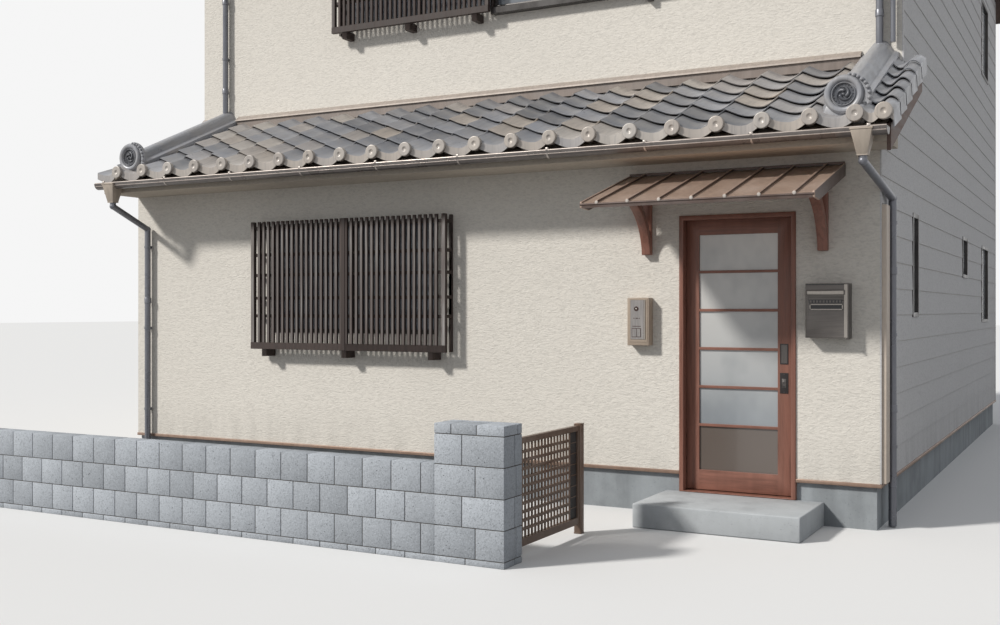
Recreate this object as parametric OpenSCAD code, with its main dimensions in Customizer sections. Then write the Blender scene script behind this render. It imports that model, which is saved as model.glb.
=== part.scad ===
// Two-storey machiya townhouse with a tiled pent roof, lattice windows,
// a sliding entrance door and a block wall along the street.
// X runs right along the street front, Y into the house, Z up from the street.

/* [House] */
// Width of the street front
house_w = 7600; // [7200:50:9000]
// Depth from the lower front to the back wall
house_d = 9100; // [8800:50:11000]
// Thickness of the outer walls
wall_t = 165; // [160:5:200]
// How far the upper front stands back from the lower front
setback = 1000; // [900:50:1300]
// Height of the foundation above the street
base_h = 350; // [320:5:420]
// Setback of the foundation behind the wall's face
base_inset = 25; // [20:1:35]
// Thickness of the foundation's upstand
base_t = 150; // [145:5:180]
// Thickness of the foundation's slab
slab_t = 140; // [100:5:150]
// Thickness of the ground floor's boards
board_t = 30; // [18:1:32]
// Height of the upper floor
upper_floor_z = 3350; // [3300:10:3450]
// Thickness of the upper floor with its joists
upper_floor_t = 200; // [150:10:240]
// Height of the drip strip under the walls
drip_h = 28; // [20:1:40]
// How far the drip strip stands out
drip_out = 15; // [8:1:25]

/* [Roofs] */
// Rise of the roofs for each unit of run
pitch = 0.45; // [0.4:0.01:0.5]
// Height of the pent roof's boards at the lower front
pent_z = 3170; // [3140:10:3250]
// Height of the main roof's boards at the upper front
main_z = 6250; // [6150:10:6500]
// Upright thickness of rafters and boards
deck_t = 120; // [90:5:150]
// Upright thickness of the tile layer
tile_t = 75; // [60:5:90]
// Drop from one tile course to the next
course_step = 22; // [10:1:30]
// Length of a tile course along the slope
course_len = 275; // [250:5:320]
// How far the pent roof's boards stand out
pent_eave = 460; // [400:10:520]
// How far the main roof's boards stand out
main_eave = 500; // [420:10:600]
// How far the tiles reach past the boards at an eave
tile_nose = 45; // [30:5:60]
// How far the roofs stand out at the free side
verge = 190; // [150:5:230]
// Thickness of eaves boards and bargeboards
fascia_t = 28; // [20:1:40]
// How far the bargeboards stand in from the tiles' edge
barge_in = 34; // [30:1:45]
// Thickness of the verge tiles' hanging sides
sleeve_t = 20; // [14:1:24]
// How far the verge tiles hang below the boards' top
sleeve_drop = 62; // [40:2:80]
// Height of the bargeboards
barge_h = 190; // [160:5:240]
// Height of the metal apron above the pent roof
apron_h = 110; // [80:5:150]

/* [Ridges] */
// Radius of the half-round ridge tiles
ridge_r = 118; // [90:2:130]
// Width of the ridges' flat base tiles
ridge_base_w = 300; // [280:5:340]
// Height of one layer of base tiles
ridge_layer = 32; // [24:1:40]
// Number of base layers under the main ridge
ridge_layers = 5; // [3:1:7]
// Radius of the round end tiles
end_r = 142; // [130:2:160]
// Radius of the raised ring on an end tile
end_ring_r = 88; // [70:2:100]
// Thickness of an end tile
end_t = 55; // [40:5:70]
// Distance of the right ridge from the house's side
ridge_in_right = 170; // [160:5:300]
// Distance of the left ridge from the house's side
ridge_in_left = 360; // [340:5:420]

/* [Gutters] */
// Outer radius of the gutters
gutter_r = 58; // [50:1:66]
// Thickness of the gutters
gutter_t = 4; // [3:1:6]
// Gap between gutter and eaves board
gutter_gap = 32; // [24:1:44]
// Spacing of the gutter hangers
hanger_pitch = 900; // [600:50:1200]
// Diameter of the downspouts
spout_d = 60; // [50:2:70]
// Diameter of the slim second pipe
slim_d = 42; // [32:2:48]
// Distance between the slim pipe and the downspout beside it, from middle to middle
slim_in = 107; // [95:1:115]
// How far the slim pipe ends below the downspout's bend
slim_short = 90; // [60:10:140]
// Height of the funnels under the gutters
funnel_h = 190; // [160:10:240]
// Upper width of the funnels
funnel_w = 150; // [120:5:170]
// Clear gap between a downspout and its wall
spout_gap = 22; // [15:1:30]
// Gap between a funnel and the first bend under it
neck_gap = 6; // [4:1:20]
// Drop from a funnel to the second bend
bend_drop = 240; // [220:10:300]
// How far the bends stand proud of the pipe
bend_out = 3; // [2:1:5]
// Height of the lowest pipe clamp
clamp_z = 600; // [500:10:700]
// Spacing of the pipe clamps
clamp_pitch = 850; // [800:10:900]

/* [Door] */
// Distance of the door frame from the house's right side
door_from_corner = 623; // [560:5:700]
// Width over the door frame
door_w = 940; // [900:5:980]
// Height of the threshold's underside
door_z = 185; // [183:1:195]
// Height over the door frame
door_h = 2225; // [2100:5:2300]
// Width of the frame's face
jamb_w = 35; // [30:1:45]
// How far the frame stands out of the wall
jamb_out = 15; // [8:1:25]
// Height of the threshold
sill_h = 8; // [6:1:10]
// Thickness of the outer wall skin over the door's pocket
skin_t = 65; // [60:1:70]
// Width of the door's pocket in the wall
pocket_t = 52; // [50:1:56]
// Thickness of the door leaf
leaf_t = 36; // [33:1:38]
// How far the door slides open
door_travel = 740; // [700:5:760]
// Running clearance under the door leaf
leaf_under = 6; // [5:1:8]
// Clearance over the leaf and at the pocket's end
leaf_over = 10; // [8:1:14]
// Width of the rail that the leaf runs on
rail_w = 18; // [14:1:22]
// Width of the runners under the leaf
runner_w = 14; // [10:1:18]
// Length of a runner
runner_l = 70; // [50:5:90]
// Distance of the runners from the leaf's edges
runner_in = 60; // [40:5:90]
// Width of the leaf's left stile in view
stile_left = 105; // [95:1:115]
// Width of the leaf's right stile in view
stile_right = 126; // [118:1:135]
// Height of the leaf's top rail in view
rail_top = 120; // [100:5:140]
// Height of the leaf's bottom rail
rail_bottom = 160; // [140:5:190]
// Height of the bottom pane
pane_low = 352; // [330:2:380]
// Thickness of the bars between the panes
bar_t = 22; // [16:1:28]
// Number of panes above the bottom one
panes_high = 5; // [3:1:6]
// Thickness of the glass
glass_t = 6; // [4:1:8]
// Width of the finger pull and the lock plate
pull_w = 64; // [50:2:76]
// Height of the finger pull and the lock plate
pull_h = 160; // [130:5:180]
// Height of the finger pull's middle
pull_z = 1306; // [1250:5:1350]
// Height of the lock plate's middle
lock_z = 1078; // [1040:5:1110]
// How far the plates stand out of the leaf
plate_t = 4; // [2:1:5]

/* [Step] */
// Width of the step
step_w = 1270; // [1100:10:1400]
// Depth of the step in front of the wall
step_d = 730; // [600:10:800]
// Height of the step
step_h = 183; // [150:1:183]
// How far the step reaches right of the door frame
step_right = 210; // [150:10:300]

/* [Canopy] */
// Width of the canopy
canopy_w = 1715; // [1600:5:1800]
// How far the canopy reaches right of the door frame
canopy_right = 359; // [300:5:400]
// How far the canopy stands out
canopy_d = 1000; // [900:10:1050]
// Height of the canopy's top at the wall
canopy_z = 2750; // [2740:5:2790]
// Drop of the canopy from the wall to its front edge
canopy_drop = 300; // [250:10:330]
// Thickness of the canopy's roof
canopy_t = 34; // [24:2:44]
// Height of the canopy's side boards
canopy_side = 88; // [70:2:100]
// Spacing of the standing seams
seam_pitch = 245; // [220:5:300]
// Height of the standing seams
seam_h = 22; // [14:1:30]
// Width of the standing seams
seam_w = 18; // [12:1:26]
// Thickness of the canopy's side boards
canopy_edge = 16; // [12:1:24]
// Width of the canopy brackets
bracket_w = 75; // [60:1:90]
// Height of the bracket's foot
bracket_z = 2100; // [2060:10:2150]
// How far the bracket's strut stands out
bracket_out = 400; // [340:10:440]
// How far the bracket's arm stands out
arm_out = 520; // [460:10:600]
// Distance of the brackets from the canopy's ends
bracket_in = 110; // [100:5:140]

/* [Lattices] */
// Distance of the lower lattice from the house's left side
lattice_from_left = 1677; // [1600:1:1900]
// Width of the lower lattice
lattice_w = 2230; // [2000:10:2300]
// Height of the lower lattice's foot
lattice_z = 1270; // [1200:10:1350]
// Height of the lower lattice
lattice_h = 1240; // [1100:10:1300]
// How far the lattices stand out
lattice_out = 150; // [130:5:180]
// Width of a slat
slat_w = 28; // [22:1:32]
// Depth of a slat
slat_t = 24; // [18:1:30]
// Spacing of the slats
slat_pitch = 58; // [54:1:66]
// Height of a rail
rail_h = 30; // [22:1:36]
// Width of the end and middle posts
post_w = 40; // [34:1:50]
// Distance of the upper lattice from the house's left side
upper_lattice_from_left = 1907; // [1850:1:2100]
// Width of the upper lattice
upper_lattice_w = 1880; // [1700:10:2000]
// Height of the upper lattice's foot
upper_lattice_z = 4550; // [4500:10:4600]
// Height of the upper lattice
upper_lattice_h = 1200; // [1100:10:1250]
// Height of the stub brackets under the lattices
stub_h = 70; // [50:5:90]

/* [Windows] */
// Width of the lower front window
front_win_w = 1900; // [1700:10:2000]
// Height of the lower front window
front_win_h = 1060; // [1000:10:1100]
// Width of the upper front window
upper_win_w = 3610; // [3400:10:3700]
// Height of the upper front window
upper_win_h = 1120; // [1000:10:1130]
// Height of all lower window heads
win_head = 2490; // [2470:5:2500]
// Height of all upper window heads
upper_win_head = 5720; // [5700:5:5740]
// Width of a window frame's face
win_frame = 38; // [30:1:50]
// Depth of a window frame
win_frame_t = 70; // [60:2:90]
// How far window frames stand out of the wall
win_frame_out = 12; // [8:1:20]
// How far the glass lies behind the frame's face
glass_back = 34; // [28:1:40]
// How far the upper window's sill stands out
sill_out = 90; // [60:5:110]
// Height of the upper window's sill
sill_t = 60; // [40:5:80]
// Width of the slim side window
slim_win_w = 320; // [280:10:400]
// Height of the slim side window
slim_win_h = 900; // [700:10:1000]
// Distance of the slim window from the lower front
slim_win_d = 1510; // [1450:10:1600]
// Width of the small side window
small_win_w = 490; // [400:10:600]
// Height of the small side window
small_win_h = 470; // [400:10:600]
// Distance of the small window from the lower front
small_win_d = 5100; // [4800:10:5400]
// Width of the rear side windows
rear_win_w = 800; // [700:10:900]
// Height of the rear side windows
rear_win_h = 1000; // [900:10:1100]
// Distance of the rear side windows from the lower front
rear_win_d = 7200; // [7000:10:7300]
// Width of the windows in the back wall
back_win_w = 1650; // [1500:10:1800]
// Height of the windows in the back wall
back_win_h = 1060; // [900:10:1100]
// Distance of the back windows from the house's middle
back_win_x = 900; // [700:10:950]

/* [Fittings] */
// Width of the intercom
intercom_w = 190; // [160:5:220]
// Height of the intercom
intercom_h = 390; // [340:5:420]
// Depth of the intercom
intercom_t = 90; // [60:5:110]
// Height of the intercom's foot
intercom_z = 1360; // [1300:5:1420]
// Diameter of the intercom's lens
lens_d = 34; // [26:1:44]
// Gap between the intercom and the door frame
intercom_gap = 229; // [200:1:260]
// Width of the mailbox
mailbox_w = 320; // [280:5:330]
// Height of the mailbox
mailbox_h = 410; // [360:5:440]
// Depth of the mailbox
mailbox_t = 120; // [100:5:140]
// Height of the mailbox's foot
mailbox_z = 1440; // [1400:5:1500]
// Gap between the mailbox and the door frame
mailbox_gap = 100; // [85:1:130]
// Width of the pipe cover at the corner
cover_w = 140; // [100:5:160]
// Depth of the pipe cover
cover_t = 45; // [30:1:60]
// Distance of the pipe cover from the front corner
cover_in = 20; // [10:1:30]
// Gap between the pipe cover and the bend of the pipe above it
cover_gap = 60; // [45:5:120]
// Gap between the pipe cover and the downspout behind it
cover_side_gap = 70; // [60:5:90]

/* [Street wall] */
// Distance from the lower front to the block wall's street face
yard_d = 2436; // [2300:10:2600]
// Thickness of the block wall
fence_wall_t = 150; // [120:5:160]
// Height of one course of blocks
block_h = 200; // [190:1:210]
// Height of the footing course in view
block_foot = 42; // [20:2:60]
// Number of courses in the wall
block_courses = 3; // [2:1:4]
// Distance of the pillar's right side from the house's right side
pillar_from_right = 1868; // [1800:1:1950]
// Width of the pillar
pillar_w = 522; // [480:2:560]
// Depth of the pillar
pillar_d = 250; // [220:5:300]
// Height of the pillar's cap
pillar_cap = 68; // [50:2:80]
// Length of the fence panel
panel_l = 1040; // [900:10:1100]
// Height of the fence panel
panel_h = 725; // [650:5:780]
// Height of the fence panel above the street
panel_z = 75; // [60:5:90]
// Thickness of the fence panel
panel_t = 36; // [30:1:45]
// Width of the fence panel's frame
panel_frame = 40; // [32:1:50]
// Spacing of the fence panel's upright bars
panel_pitch = 52; // [48:1:60]
// Width of the fence panel's bars
panel_bar = 22; // [16:1:26]
// Number of openings from top to bottom of the panel
panel_rows = 11; // [8:1:12]
// Distance of the panel from the pillar's right side
panel_in = 75; // [60:5:110]
// Diameter of the fence post
fence_post_d = 60; // [50:2:70]

/* [Hidden] */

round = 40;
slope = atan(pitch);
left = -house_w / 2;
right = house_w / 2;
front = -house_d / 2;
back = house_d / 2;
seat = 0.3;

// Rooms
floor_z = slab_t + board_t;
room_x0 = left + wall_t;
room_x1 = right - wall_t;
upper_y = front + setback;
ridge_d = (setback + house_d) / 2;
ridge_y = front + ridge_d;
barge_x = right + verge - barge_in - fascia_t;

// Door
door_x1 = right - door_from_corner;
door_x0 = door_x1 - door_w;
door_top = door_z + door_h;
way_x0 = door_x0 + jamb_w;
way_x1 = door_x1 - jamb_w;
way_z0 = door_z + sill_h;
way_z1 = door_top - jamb_w;
pocket_y = front + skin_t;
lining_t = wall_t - skin_t - pocket_t;
leaf_side = (pocket_t - leaf_t) / 2;
leaf_y = pocket_y + leaf_side;
rail_y = leaf_y + leaf_t / 2;
frame_y0 = front - jamb_out;
frame_y1 = pocket_y - 2;
frame_y2 = pocket_y + pocket_t + 2;
frame_y3 = front + wall_t + jamb_out;
head_lap = 4;
lap = 20;
strike = 3;
leaf_x0 = way_x0 - lap;
leaf_x1 = way_x1 + strike;
rebate_x = leaf_x1 + 5;
leaf_z0 = way_z0 + leaf_under;
leaf_z1 = way_z1 + leaf_over;
pocket_x0 = leaf_x0 - door_travel - leaf_over - 2;
pane_x0 = way_x0 + stile_left;
pane_x1 = way_x1 - stile_right;
pane_z0 = leaf_z0 + rail_bottom;
pane_z1 = way_z1 - rail_top;
low_top = pane_z0 + pane_low;
pane_step = (pane_z1 - low_top) / panes_high;
pull_x = (pane_x1 + way_x1) / 2 - 12;

// Lattices and windows
lattice_x = left + lattice_from_left;
upper_lattice_x = left + upper_lattice_from_left;
front_win_x = lattice_x + (lattice_w - front_win_w) / 2;
upper_win_x = upper_lattice_x + 80;
// Holes as [start along the wall, foot, width, height]
front_hole = [front_win_x, win_head - front_win_h, front_win_w, front_win_h];
upper_hole = [upper_win_x, upper_win_head - upper_win_h, upper_win_w, upper_win_h];
side_holes = [
    [slim_win_d, win_head - slim_win_h, slim_win_w, slim_win_h],
    [small_win_d, win_head - small_win_h, small_win_w, small_win_h],
    [rear_win_d, win_head - rear_win_h, rear_win_w, rear_win_h],
    [rear_win_d, upper_win_head - rear_win_h, rear_win_w, rear_win_h]
];
back_holes = [for (head = [win_head, upper_win_head], side = [-1, 1])
    [side * back_win_x - back_win_w / 2 + side * back_win_w / 2, head - back_win_h, back_win_w, back_win_h]];

// Street wall
yard_y = front - yard_d;
pillar_x1 = right - pillar_from_right;
pillar_x0 = pillar_x1 - pillar_w;
fence_wall_h = block_foot + block_courses * block_h;
pillar_h = fence_wall_h + block_h + pillar_cap;
panel_x = pillar_x1 - panel_in;
panel_y = yard_y + pillar_d + seat;

// Height of the roof boards' top at a distance from the lower front
function pent_top(d) = pent_z + pitch * d;
function main_top(d) = main_z + pitch * (d <= ridge_d ? d - setback : house_d - d);

// A box between two opposite corners
module span(a, b) {
    translate(a) cube(b - a);
}

// An outline in depth and height, drawn out along the front
module along_front(x0, x1) {
    translate([x0, front, 0]) rotate([90, 0, 90]) linear_extrude(x1 - x0) children();
}

// An outline across a roof slope, drawn out up the slope from depth d0 to d1
module up_slope(x, d0, d1, z) {
    run = (d1 - d0) / cos(slope);
    translate([x, front + d0, z]) rotate([slope, 0, 0])
        rotate([90, 0, 0]) translate([0, 0, -run]) linear_extrude(run) children();
}

// The holes of a wall that runs along the front
module cut_front(holes, y0, y1) {
    for (h = holes) span([h[0], y0, h[1]], [h[0] + h[2], y1, h[1] + h[3]]);
}

// Masonry base
module foundation() {
    color("darkgray") difference() {
        span([left + base_inset, front + base_inset, 0], [right - base_inset, back - base_inset, base_h]);
        span([left + base_inset + base_t, front + base_inset + base_t, slab_t],
             [right - base_inset - base_t, back - base_inset - base_t, base_h + 1]);
        span([door_x0, front, door_z], [door_x1, front + wall_t + base_t, base_h + 1]);
        span([pocket_x0, pocket_y, door_z], [door_x0 + 1, front + skin_t + pocket_t, base_h + 1]);
    }
}

module ground_floor() {
    color("tan") span([left + base_inset + base_t, front + base_inset + base_t, slab_t],
                      [right - base_inset - base_t, back - base_inset - base_t, floor_z]);
}

module upper_floor() {
    color("tan") span([room_x0, upper_y + wall_t, upper_floor_z - upper_floor_t],
                      [room_x1, back - wall_t, upper_floor_z]);
}

// Outline of the lower front wall, with its top under the pent roof
module lower_front_outline() {
    polygon([[0, base_h], [wall_t, base_h], [wall_t, pent_top(wall_t) - deck_t], [0, pent_top(0) - deck_t]]);
}

module front_wall_left() {
    color("oldlace") difference() {
        along_front(room_x0, door_x0) lower_front_outline();
        cut_front([front_hole], front - 1, front + wall_t + 1);
        span([pocket_x0, pocket_y, base_h - 1], [door_x0 + 1, front + wall_t + 1, door_top]);
    }
}

module front_wall_right() {
    color("oldlace") along_front(door_x1, room_x1) lower_front_outline();
}

module door_lintel_wall() {
    color("oldlace") intersection() {
        along_front(door_x0, door_x1) lower_front_outline();
        span([door_x0, front - 1, door_top], [door_x1, front + wall_t + 1, main_z]);
    }
}

module pocket_lining() {
    color("oldlace") span([pocket_x0, front + skin_t + pocket_t, base_h],
                          [door_x0, front + wall_t, door_top]);
}

module upper_front_wall() {
    foot = upper_floor_z - upper_floor_t;
    d1 = setback + wall_t;
    color("oldlace") difference() {
        along_front(room_x0, room_x1)
            polygon([
                [setback, foot], [d1, foot],
                [d1, main_top(d1) - deck_t], [setback, main_top(setback) - deck_t]
            ]);
        cut_front([upper_hole], upper_y - 1, upper_y + wall_t + 1);
    }
}

// Outline of a side wall: lower front, pent roof, upper front, gable and back
module side_outline() {
    polygon([
        [0, base_h], [house_d, base_h], [house_d, main_top(house_d) - deck_t],
        [ridge_d, main_top(ridge_d) - deck_t], [setback, main_top(setback) - deck_t],
        [setback, pent_top(setback) - deck_t], [0, pent_top(0) - deck_t]
    ]);
}

module left_party_wall() {
    color("oldlace") along_front(left, room_x0) side_outline();
}

module right_side_wall() {
    color("oldlace") along_front(room_x1, right) difference() {
        side_outline();
        for (h = side_holes) translate([h[0], h[1]]) square([h[2], h[3]]);
    }
}

module back_wall() {
    d0 = house_d - wall_t;
    color("oldlace") difference() {
        along_front(room_x0, room_x1)
            polygon([
                [d0, base_h], [house_d, base_h],
                [house_d, main_top(house_d) - deck_t], [d0, main_top(d0) - deck_t]
            ]);
        cut_front(back_holes, back - wall_t - 1, back + 1);
    }
}

// Metal drip strip between the foundation and the walls
module drip_strip() {
    z0 = base_h - drip_h;
    color("saddlebrown") {
        span([left, front - drip_out, z0], [door_x0, front + base_inset, base_h]);
        difference() {
            span([door_x1, front - drip_out, z0], [right + drip_out, back + drip_out, base_h]);
            span([door_x1 - 1, front + base_inset, z0 - 1],
                 [right - base_inset, back + drip_out + 1, base_h + 1]);
        }
        span([left, back - base_inset, z0], [right - base_inset, back + drip_out, base_h]);
    }
}

// Boards, rafters and closed eaves box of the pent roof
module pent_roof() {
    eave_top = pent_top(-pent_eave);
    color("rosybrown") along_front(left, barge_x)
        polygon([
            [-pent_eave, eave_top], [setback, pent_top(setback)], [setback, pent_top(setback) - deck_t],
            [0, pent_top(0) - deck_t], [0, eave_top - deck_t], [-pent_eave, eave_top - deck_t]
        ]);
}

// Stepped courses of tiles from the eave up, as an outline in depth and height
function course_points(d0, d1, top, n) = [for (i = [0 : n - 1], end = [0, 1])
    let (d = d0 + (d1 - d0) * (i + end) / n)
    [d, top(d) + tile_t - course_step * end]];

function course_count(d0, d1) = round((d1 - d0) / cos(slope) / course_len);

// Hanging side of the verge tiles, which covers the roof boards' edge
module verge_sleeve(points) {
    drop = [0, tile_t / 2 + sleeve_drop];
    foot = [for (i = [len(points) - 1 : -1 : 0]) points[i] - drop];
    along_front(right + verge - sleeve_t, right + verge) polygon(concat(points, foot));
}

module pent_tiles() {
    d0 = -pent_eave - tile_nose;
    steps = course_points(d0, setback, function (d) pent_top(d), course_count(d0, setback));
    under = [for (d = [setback, -pent_eave, d0]) [d, pent_top(d)]];
    edge = [for (d = [d0, setback]) [d, pent_top(d) + tile_t / 2]];
    color("slategray") {
        along_front(left, right + verge) polygon(concat(steps, under));
        verge_sleeve(edge);
    }
}

// Folded metal apron where the pent roof meets the upper front
module pent_apron() {
    z0 = pent_top(setback) + tile_t;
    half = ridge_base_w / 2 + seat;
    foot = 60;
    fold = 14;
    x0 = left + ridge_in_left;
    x1 = right - ridge_in_right;
    color("dimgray") for (x = [[left, x0 - half], [x0 + half, x1 - half]])
        along_front(x[0], x[1])
            polygon([
                [setback - foot, z0 - foot * pitch], [setback - fold, z0 + 4], [setback - fold, z0 + apron_h],
                [setback, z0 + apron_h + 8], [setback, z0], [setback - foot, z0 - foot * pitch - 6]
            ]);
}

// Section of a ridge: flat base layers with a half-round tile on top
module ridge_section(layers) {
    top = layers * ridge_layer;
    for (i = [0 : layers - 1])
        translate([-ridge_base_w / 2 + i * 8, i * ridge_layer]) square([ridge_base_w - i * 16, ridge_layer]);
    polygon(concat([[ridge_r, top - 1]], [for (a = [0 : 12 : 180]) [ridge_r * cos(a), top + ridge_r * sin(a)]],
                   [[-ridge_r, top - 1]]));
}

// Round end tile of a ridge, facing the street, on a shaped back plate
module end_tile(x, y, z) {
    ring_w = 12;
    ring_out = 14;
    ring_deep = 10;
    foot = 24;
    translate([x, y, z]) rotate([90, 0, 0]) {
        cylinder(r = end_r, h = end_t, $fn = round);
        difference() {
            cylinder(r = end_ring_r + ring_w, h = end_t + ring_out, $fn = round);
            translate([0, 0, end_t + ring_out - ring_deep])
                cylinder(r = end_ring_r, h = ring_deep + 1, $fn = round);
        }
        translate([-end_r, -end_r + foot, 0]) cube([2 * end_r, end_r - foot, end_t - 18]);
    }
}

// Ridges that run down the ends of the pent roof
module pent_ridges() {
    d0 = -pent_eave + 20;
    color("slategray") for (x = [left + ridge_in_left, right - ridge_in_right]) {
        z = pent_top(d0) + tile_t;
        intersection() {
            up_slope(x, d0, setback + 100, z) ridge_section(1);
            span([x - end_r, front + d0 - 1, z - 1], [x + end_r, upper_y, main_z]);
        }
        end_tile(x, front + d0 + 12, z + end_r + 8);
    }
}

// Boards and rafters of the main roof
module main_roof() {
    d_front = setback - main_eave;
    d_back = house_d + main_eave;
    color("rosybrown") along_front(left, barge_x)
        polygon([
            [d_front, main_top(d_front)], [ridge_d, main_top(ridge_d)], [d_back, main_top(d_back)],
            [d_back, main_top(d_back) - deck_t], [ridge_d, main_top(ridge_d) - deck_t],
            [d_front, main_top(d_front) - deck_t]
        ]);
}

module main_tiles() {
    steps = course_points(main_d0, ridge_d, function (d) main_top(d), course_count(main_d0, ridge_d));
    half = concat(steps, [[ridge_d, main_top(ridge_d)], [main_d0, main_top(main_d0)]]);
    edge = [for (d = [main_d0, ridge_d, 2 * ridge_d - main_d0]) [d, main_top(d) + tile_t / 2]];
    color("slategray") {
        along_front(left, right + verge) polygon(half);
        along_front(left, right + verge) polygon([for (p = half) [2 * ridge_d - p[0], p[1]]]);
        verge_sleeve(edge);
    }
}

// Height of the top course of tiles below the main roof's peak, at a distance from it
main_d0 = setback - main_eave - tile_nose;
top_course = (ridge_d - main_d0) / course_count(main_d0, ridge_d);
function below_peak(dx) = dx * (course_step / top_course - pitch);

// Ridge along the top of the house, with a shouldered end tile at each end
module main_ridge() {
    z = main_top(ridge_d) + tile_t - course_step;
    w = ridge_base_w / 2;
    color("slategray") {
        translate([left + end_t, ridge_y, z]) rotate([90, 0, 90])
            linear_extrude(house_w + verge - 2 * end_t) {
                ridge_section(ridge_layers);
                polygon([[-w, below_peak(w)], [0, 0], [w, below_peak(w)], [w, 1], [-w, 1]]);
            }
        for (side = [0, 1])
            translate([side * (right + verge - end_t) + (1 - side) * left, ridge_y, z]) rotate([90, 0, 90])
                linear_extrude(end_t) ridge_end_outline();
    }
}

// Shouldered outline of the main ridge's end tiles
module ridge_end_outline() {
    top = ridge_layers * ridge_layer + ridge_r;
    w = ridge_base_w / 2 + 60;
    translate([0, top - end_r + 40]) circle(end_r, $fn = round);
    polygon([[-w, below_peak(w)], [0, 0], [w, below_peak(w)], [w - 20, 90],
             [end_r - 6, top - end_r], [6 - end_r, top - end_r], [20 - w, 90]]);
}

// Boards on the free gable, under both roofs' tiles
module bargeboards() {
    d_front = setback - main_eave;
    d_back = house_d + main_eave;
    color("rosybrown") {
        along_front(barge_x, barge_x + fascia_t) {
            polygon([
                [-pent_eave, pent_top(-pent_eave)], [setback, pent_top(setback)],
                [setback, pent_top(setback) - barge_h], [-pent_eave, pent_top(-pent_eave) - barge_h]
            ]);
            polygon([
                [d_front, main_top(d_front)], [ridge_d, main_top(ridge_d)], [d_back, main_top(d_back)],
                [d_back, main_top(d_back) - barge_h], [ridge_d, main_top(ridge_d) - barge_h],
                [d_front, main_top(d_front) - barge_h]
            ]);
        }
    }
}

// Half-round gutter with end caps, hangers and funnels, centred at depth d;
// hung is +1 where the eaves board lies behind it and -1 where it lies in front
module gutter(x0, x1, d, z, hung, funnels) {
    count = max(2, round((x1 - x0) / hanger_pitch) + 1);
    hanger_in = 120;
    hanger_w = 18;
    reach = gutter_r + gutter_gap - seat;
    difference() {
        union() {
            along_front(x0, x1) translate([d, z]) difference() {
                circle(gutter_r, $fn = round);
                circle(gutter_r - gutter_t, $fn = round);
                translate([-gutter_r - 1, 0]) square([2 * gutter_r + 2, gutter_r + 1]);
            }
            for (x = funnels) funnel(x, front + d, z - 3, 0);
        }
        for (x = funnels) funnel(x, front + d, z - 3, gutter_t);
    }
    for (x = [x0 - gutter_t, x1]) along_front(x, x + gutter_t) translate([d, z]) difference() {
        circle(gutter_r, $fn = round);
        translate([-gutter_r - 1, 0]) square([2 * gutter_r + 2, gutter_r + 1]);
    }
    for (i = [0 : count - 1]) {
        x = x0 + hanger_in + i * (x1 - x0 - 2 * hanger_in) / (count - 1);
        along_front(x - hanger_w / 2, x + hanger_w / 2) translate([d, z])
            translate([hung > 0 ? -gutter_r : -reach, -2]) square([gutter_r + reach, 6]);
    }
}

pent_gutter_d = -pent_eave - gutter_gap - gutter_r;
pent_gutter_z = pent_top(-pent_eave - tile_nose) - 12;
main_gutter_d = setback - main_eave - gutter_gap - gutter_r;
main_gutter_z = main_top(main_d0) - 12;
right_funnel_x = right - 18;
left_funnel_x = left + 220;
upper_funnels = [left + ridge_in_left, right - ridge_in_right];
neck = spout_d / 2 + bend_out + neck_gap;
clamps = [clamp_z, clamp_z + clamp_pitch, clamp_z + 2 * clamp_pitch];

module pent_gutter() {
    color("dimgray")
        gutter(left + 20, right + verge - 40, pent_gutter_d, pent_gutter_z, 1, [left_funnel_x, right_funnel_x]);
}

module main_gutters() {
    x1 = right + verge - 40;
    color("dimgray") {
        gutter(left + 20, x1, main_gutter_d, main_gutter_z, 1, upper_funnels);
        gutter(left + 20, x1, house_d + setback - main_gutter_d, main_gutter_z, -1, []);
    }
}

// A round pipe through a list of points, with a collar at each bend
module pipe(points, d) {
    for (i = [0 : len(points) - 2]) {
        v = points[i + 1] - points[i];
        translate(points[i]) rotate([0, acos(v[2] / norm(v)), atan2(v[1], v[0])])
            cylinder(d = d, h = norm(v), $fn = round);
    }
    for (i = [1 : 1 : len(points) - 2]) translate(points[i]) sphere(d = d + 2 * bend_out, $fn = round);
}

// Tapered square funnel round a gutter, or with an inset the hollow inside it
module funnel(x, y, z, inset) {
    r1 = (spout_d + 8 - 2 * inset) / sqrt(2);
    r2 = (funnel_w - 2 * inset) / sqrt(2);
    translate([x, y, z - funnel_h + 2 * inset]) rotate([0, 0, 45])
        cylinder(r1 = r1, r2 = r2, h = funnel_h - inset, $fn = 4);
}

// Clamp from a pipe back to the wall, along X where side is +1 or -1, along Y where it is 0
module clamp_x(x, y, z, d, reach) {
    translate([x, y, z]) cylinder(d = d + 10, h = 24, $fn = round);
    translate([min(x, x + reach), y - 12, z]) cube([abs(reach), 24, 24]);
}

module clamp_y(x, y, z, d, reach) {
    translate([x, y, z]) cylinder(d = d + 10, h = 24, $fn = round);
    translate([x - 12, y, z]) cube([24, reach, 24]);
}

// Downspout on the free side, just behind the front corner
module right_downspout() {
    gy = front + pent_gutter_d;
    x = right + spout_gap + spout_d / 2;
    y = front + cover_in + cover_w + cover_side_gap;
    z0 = pent_gutter_z - 3 - funnel_h;
    color("gray") {
        pipe([[right_funnel_x, gy, z0 - seat], [right_funnel_x, gy, z0 - neck],
              [x, y, z0 - bend_drop], [x, y, 8]], spout_d);
        for (z = clamps) clamp_x(x, y, z, spout_d, -spout_d / 2 - spout_gap + seat);
    }
}

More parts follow.
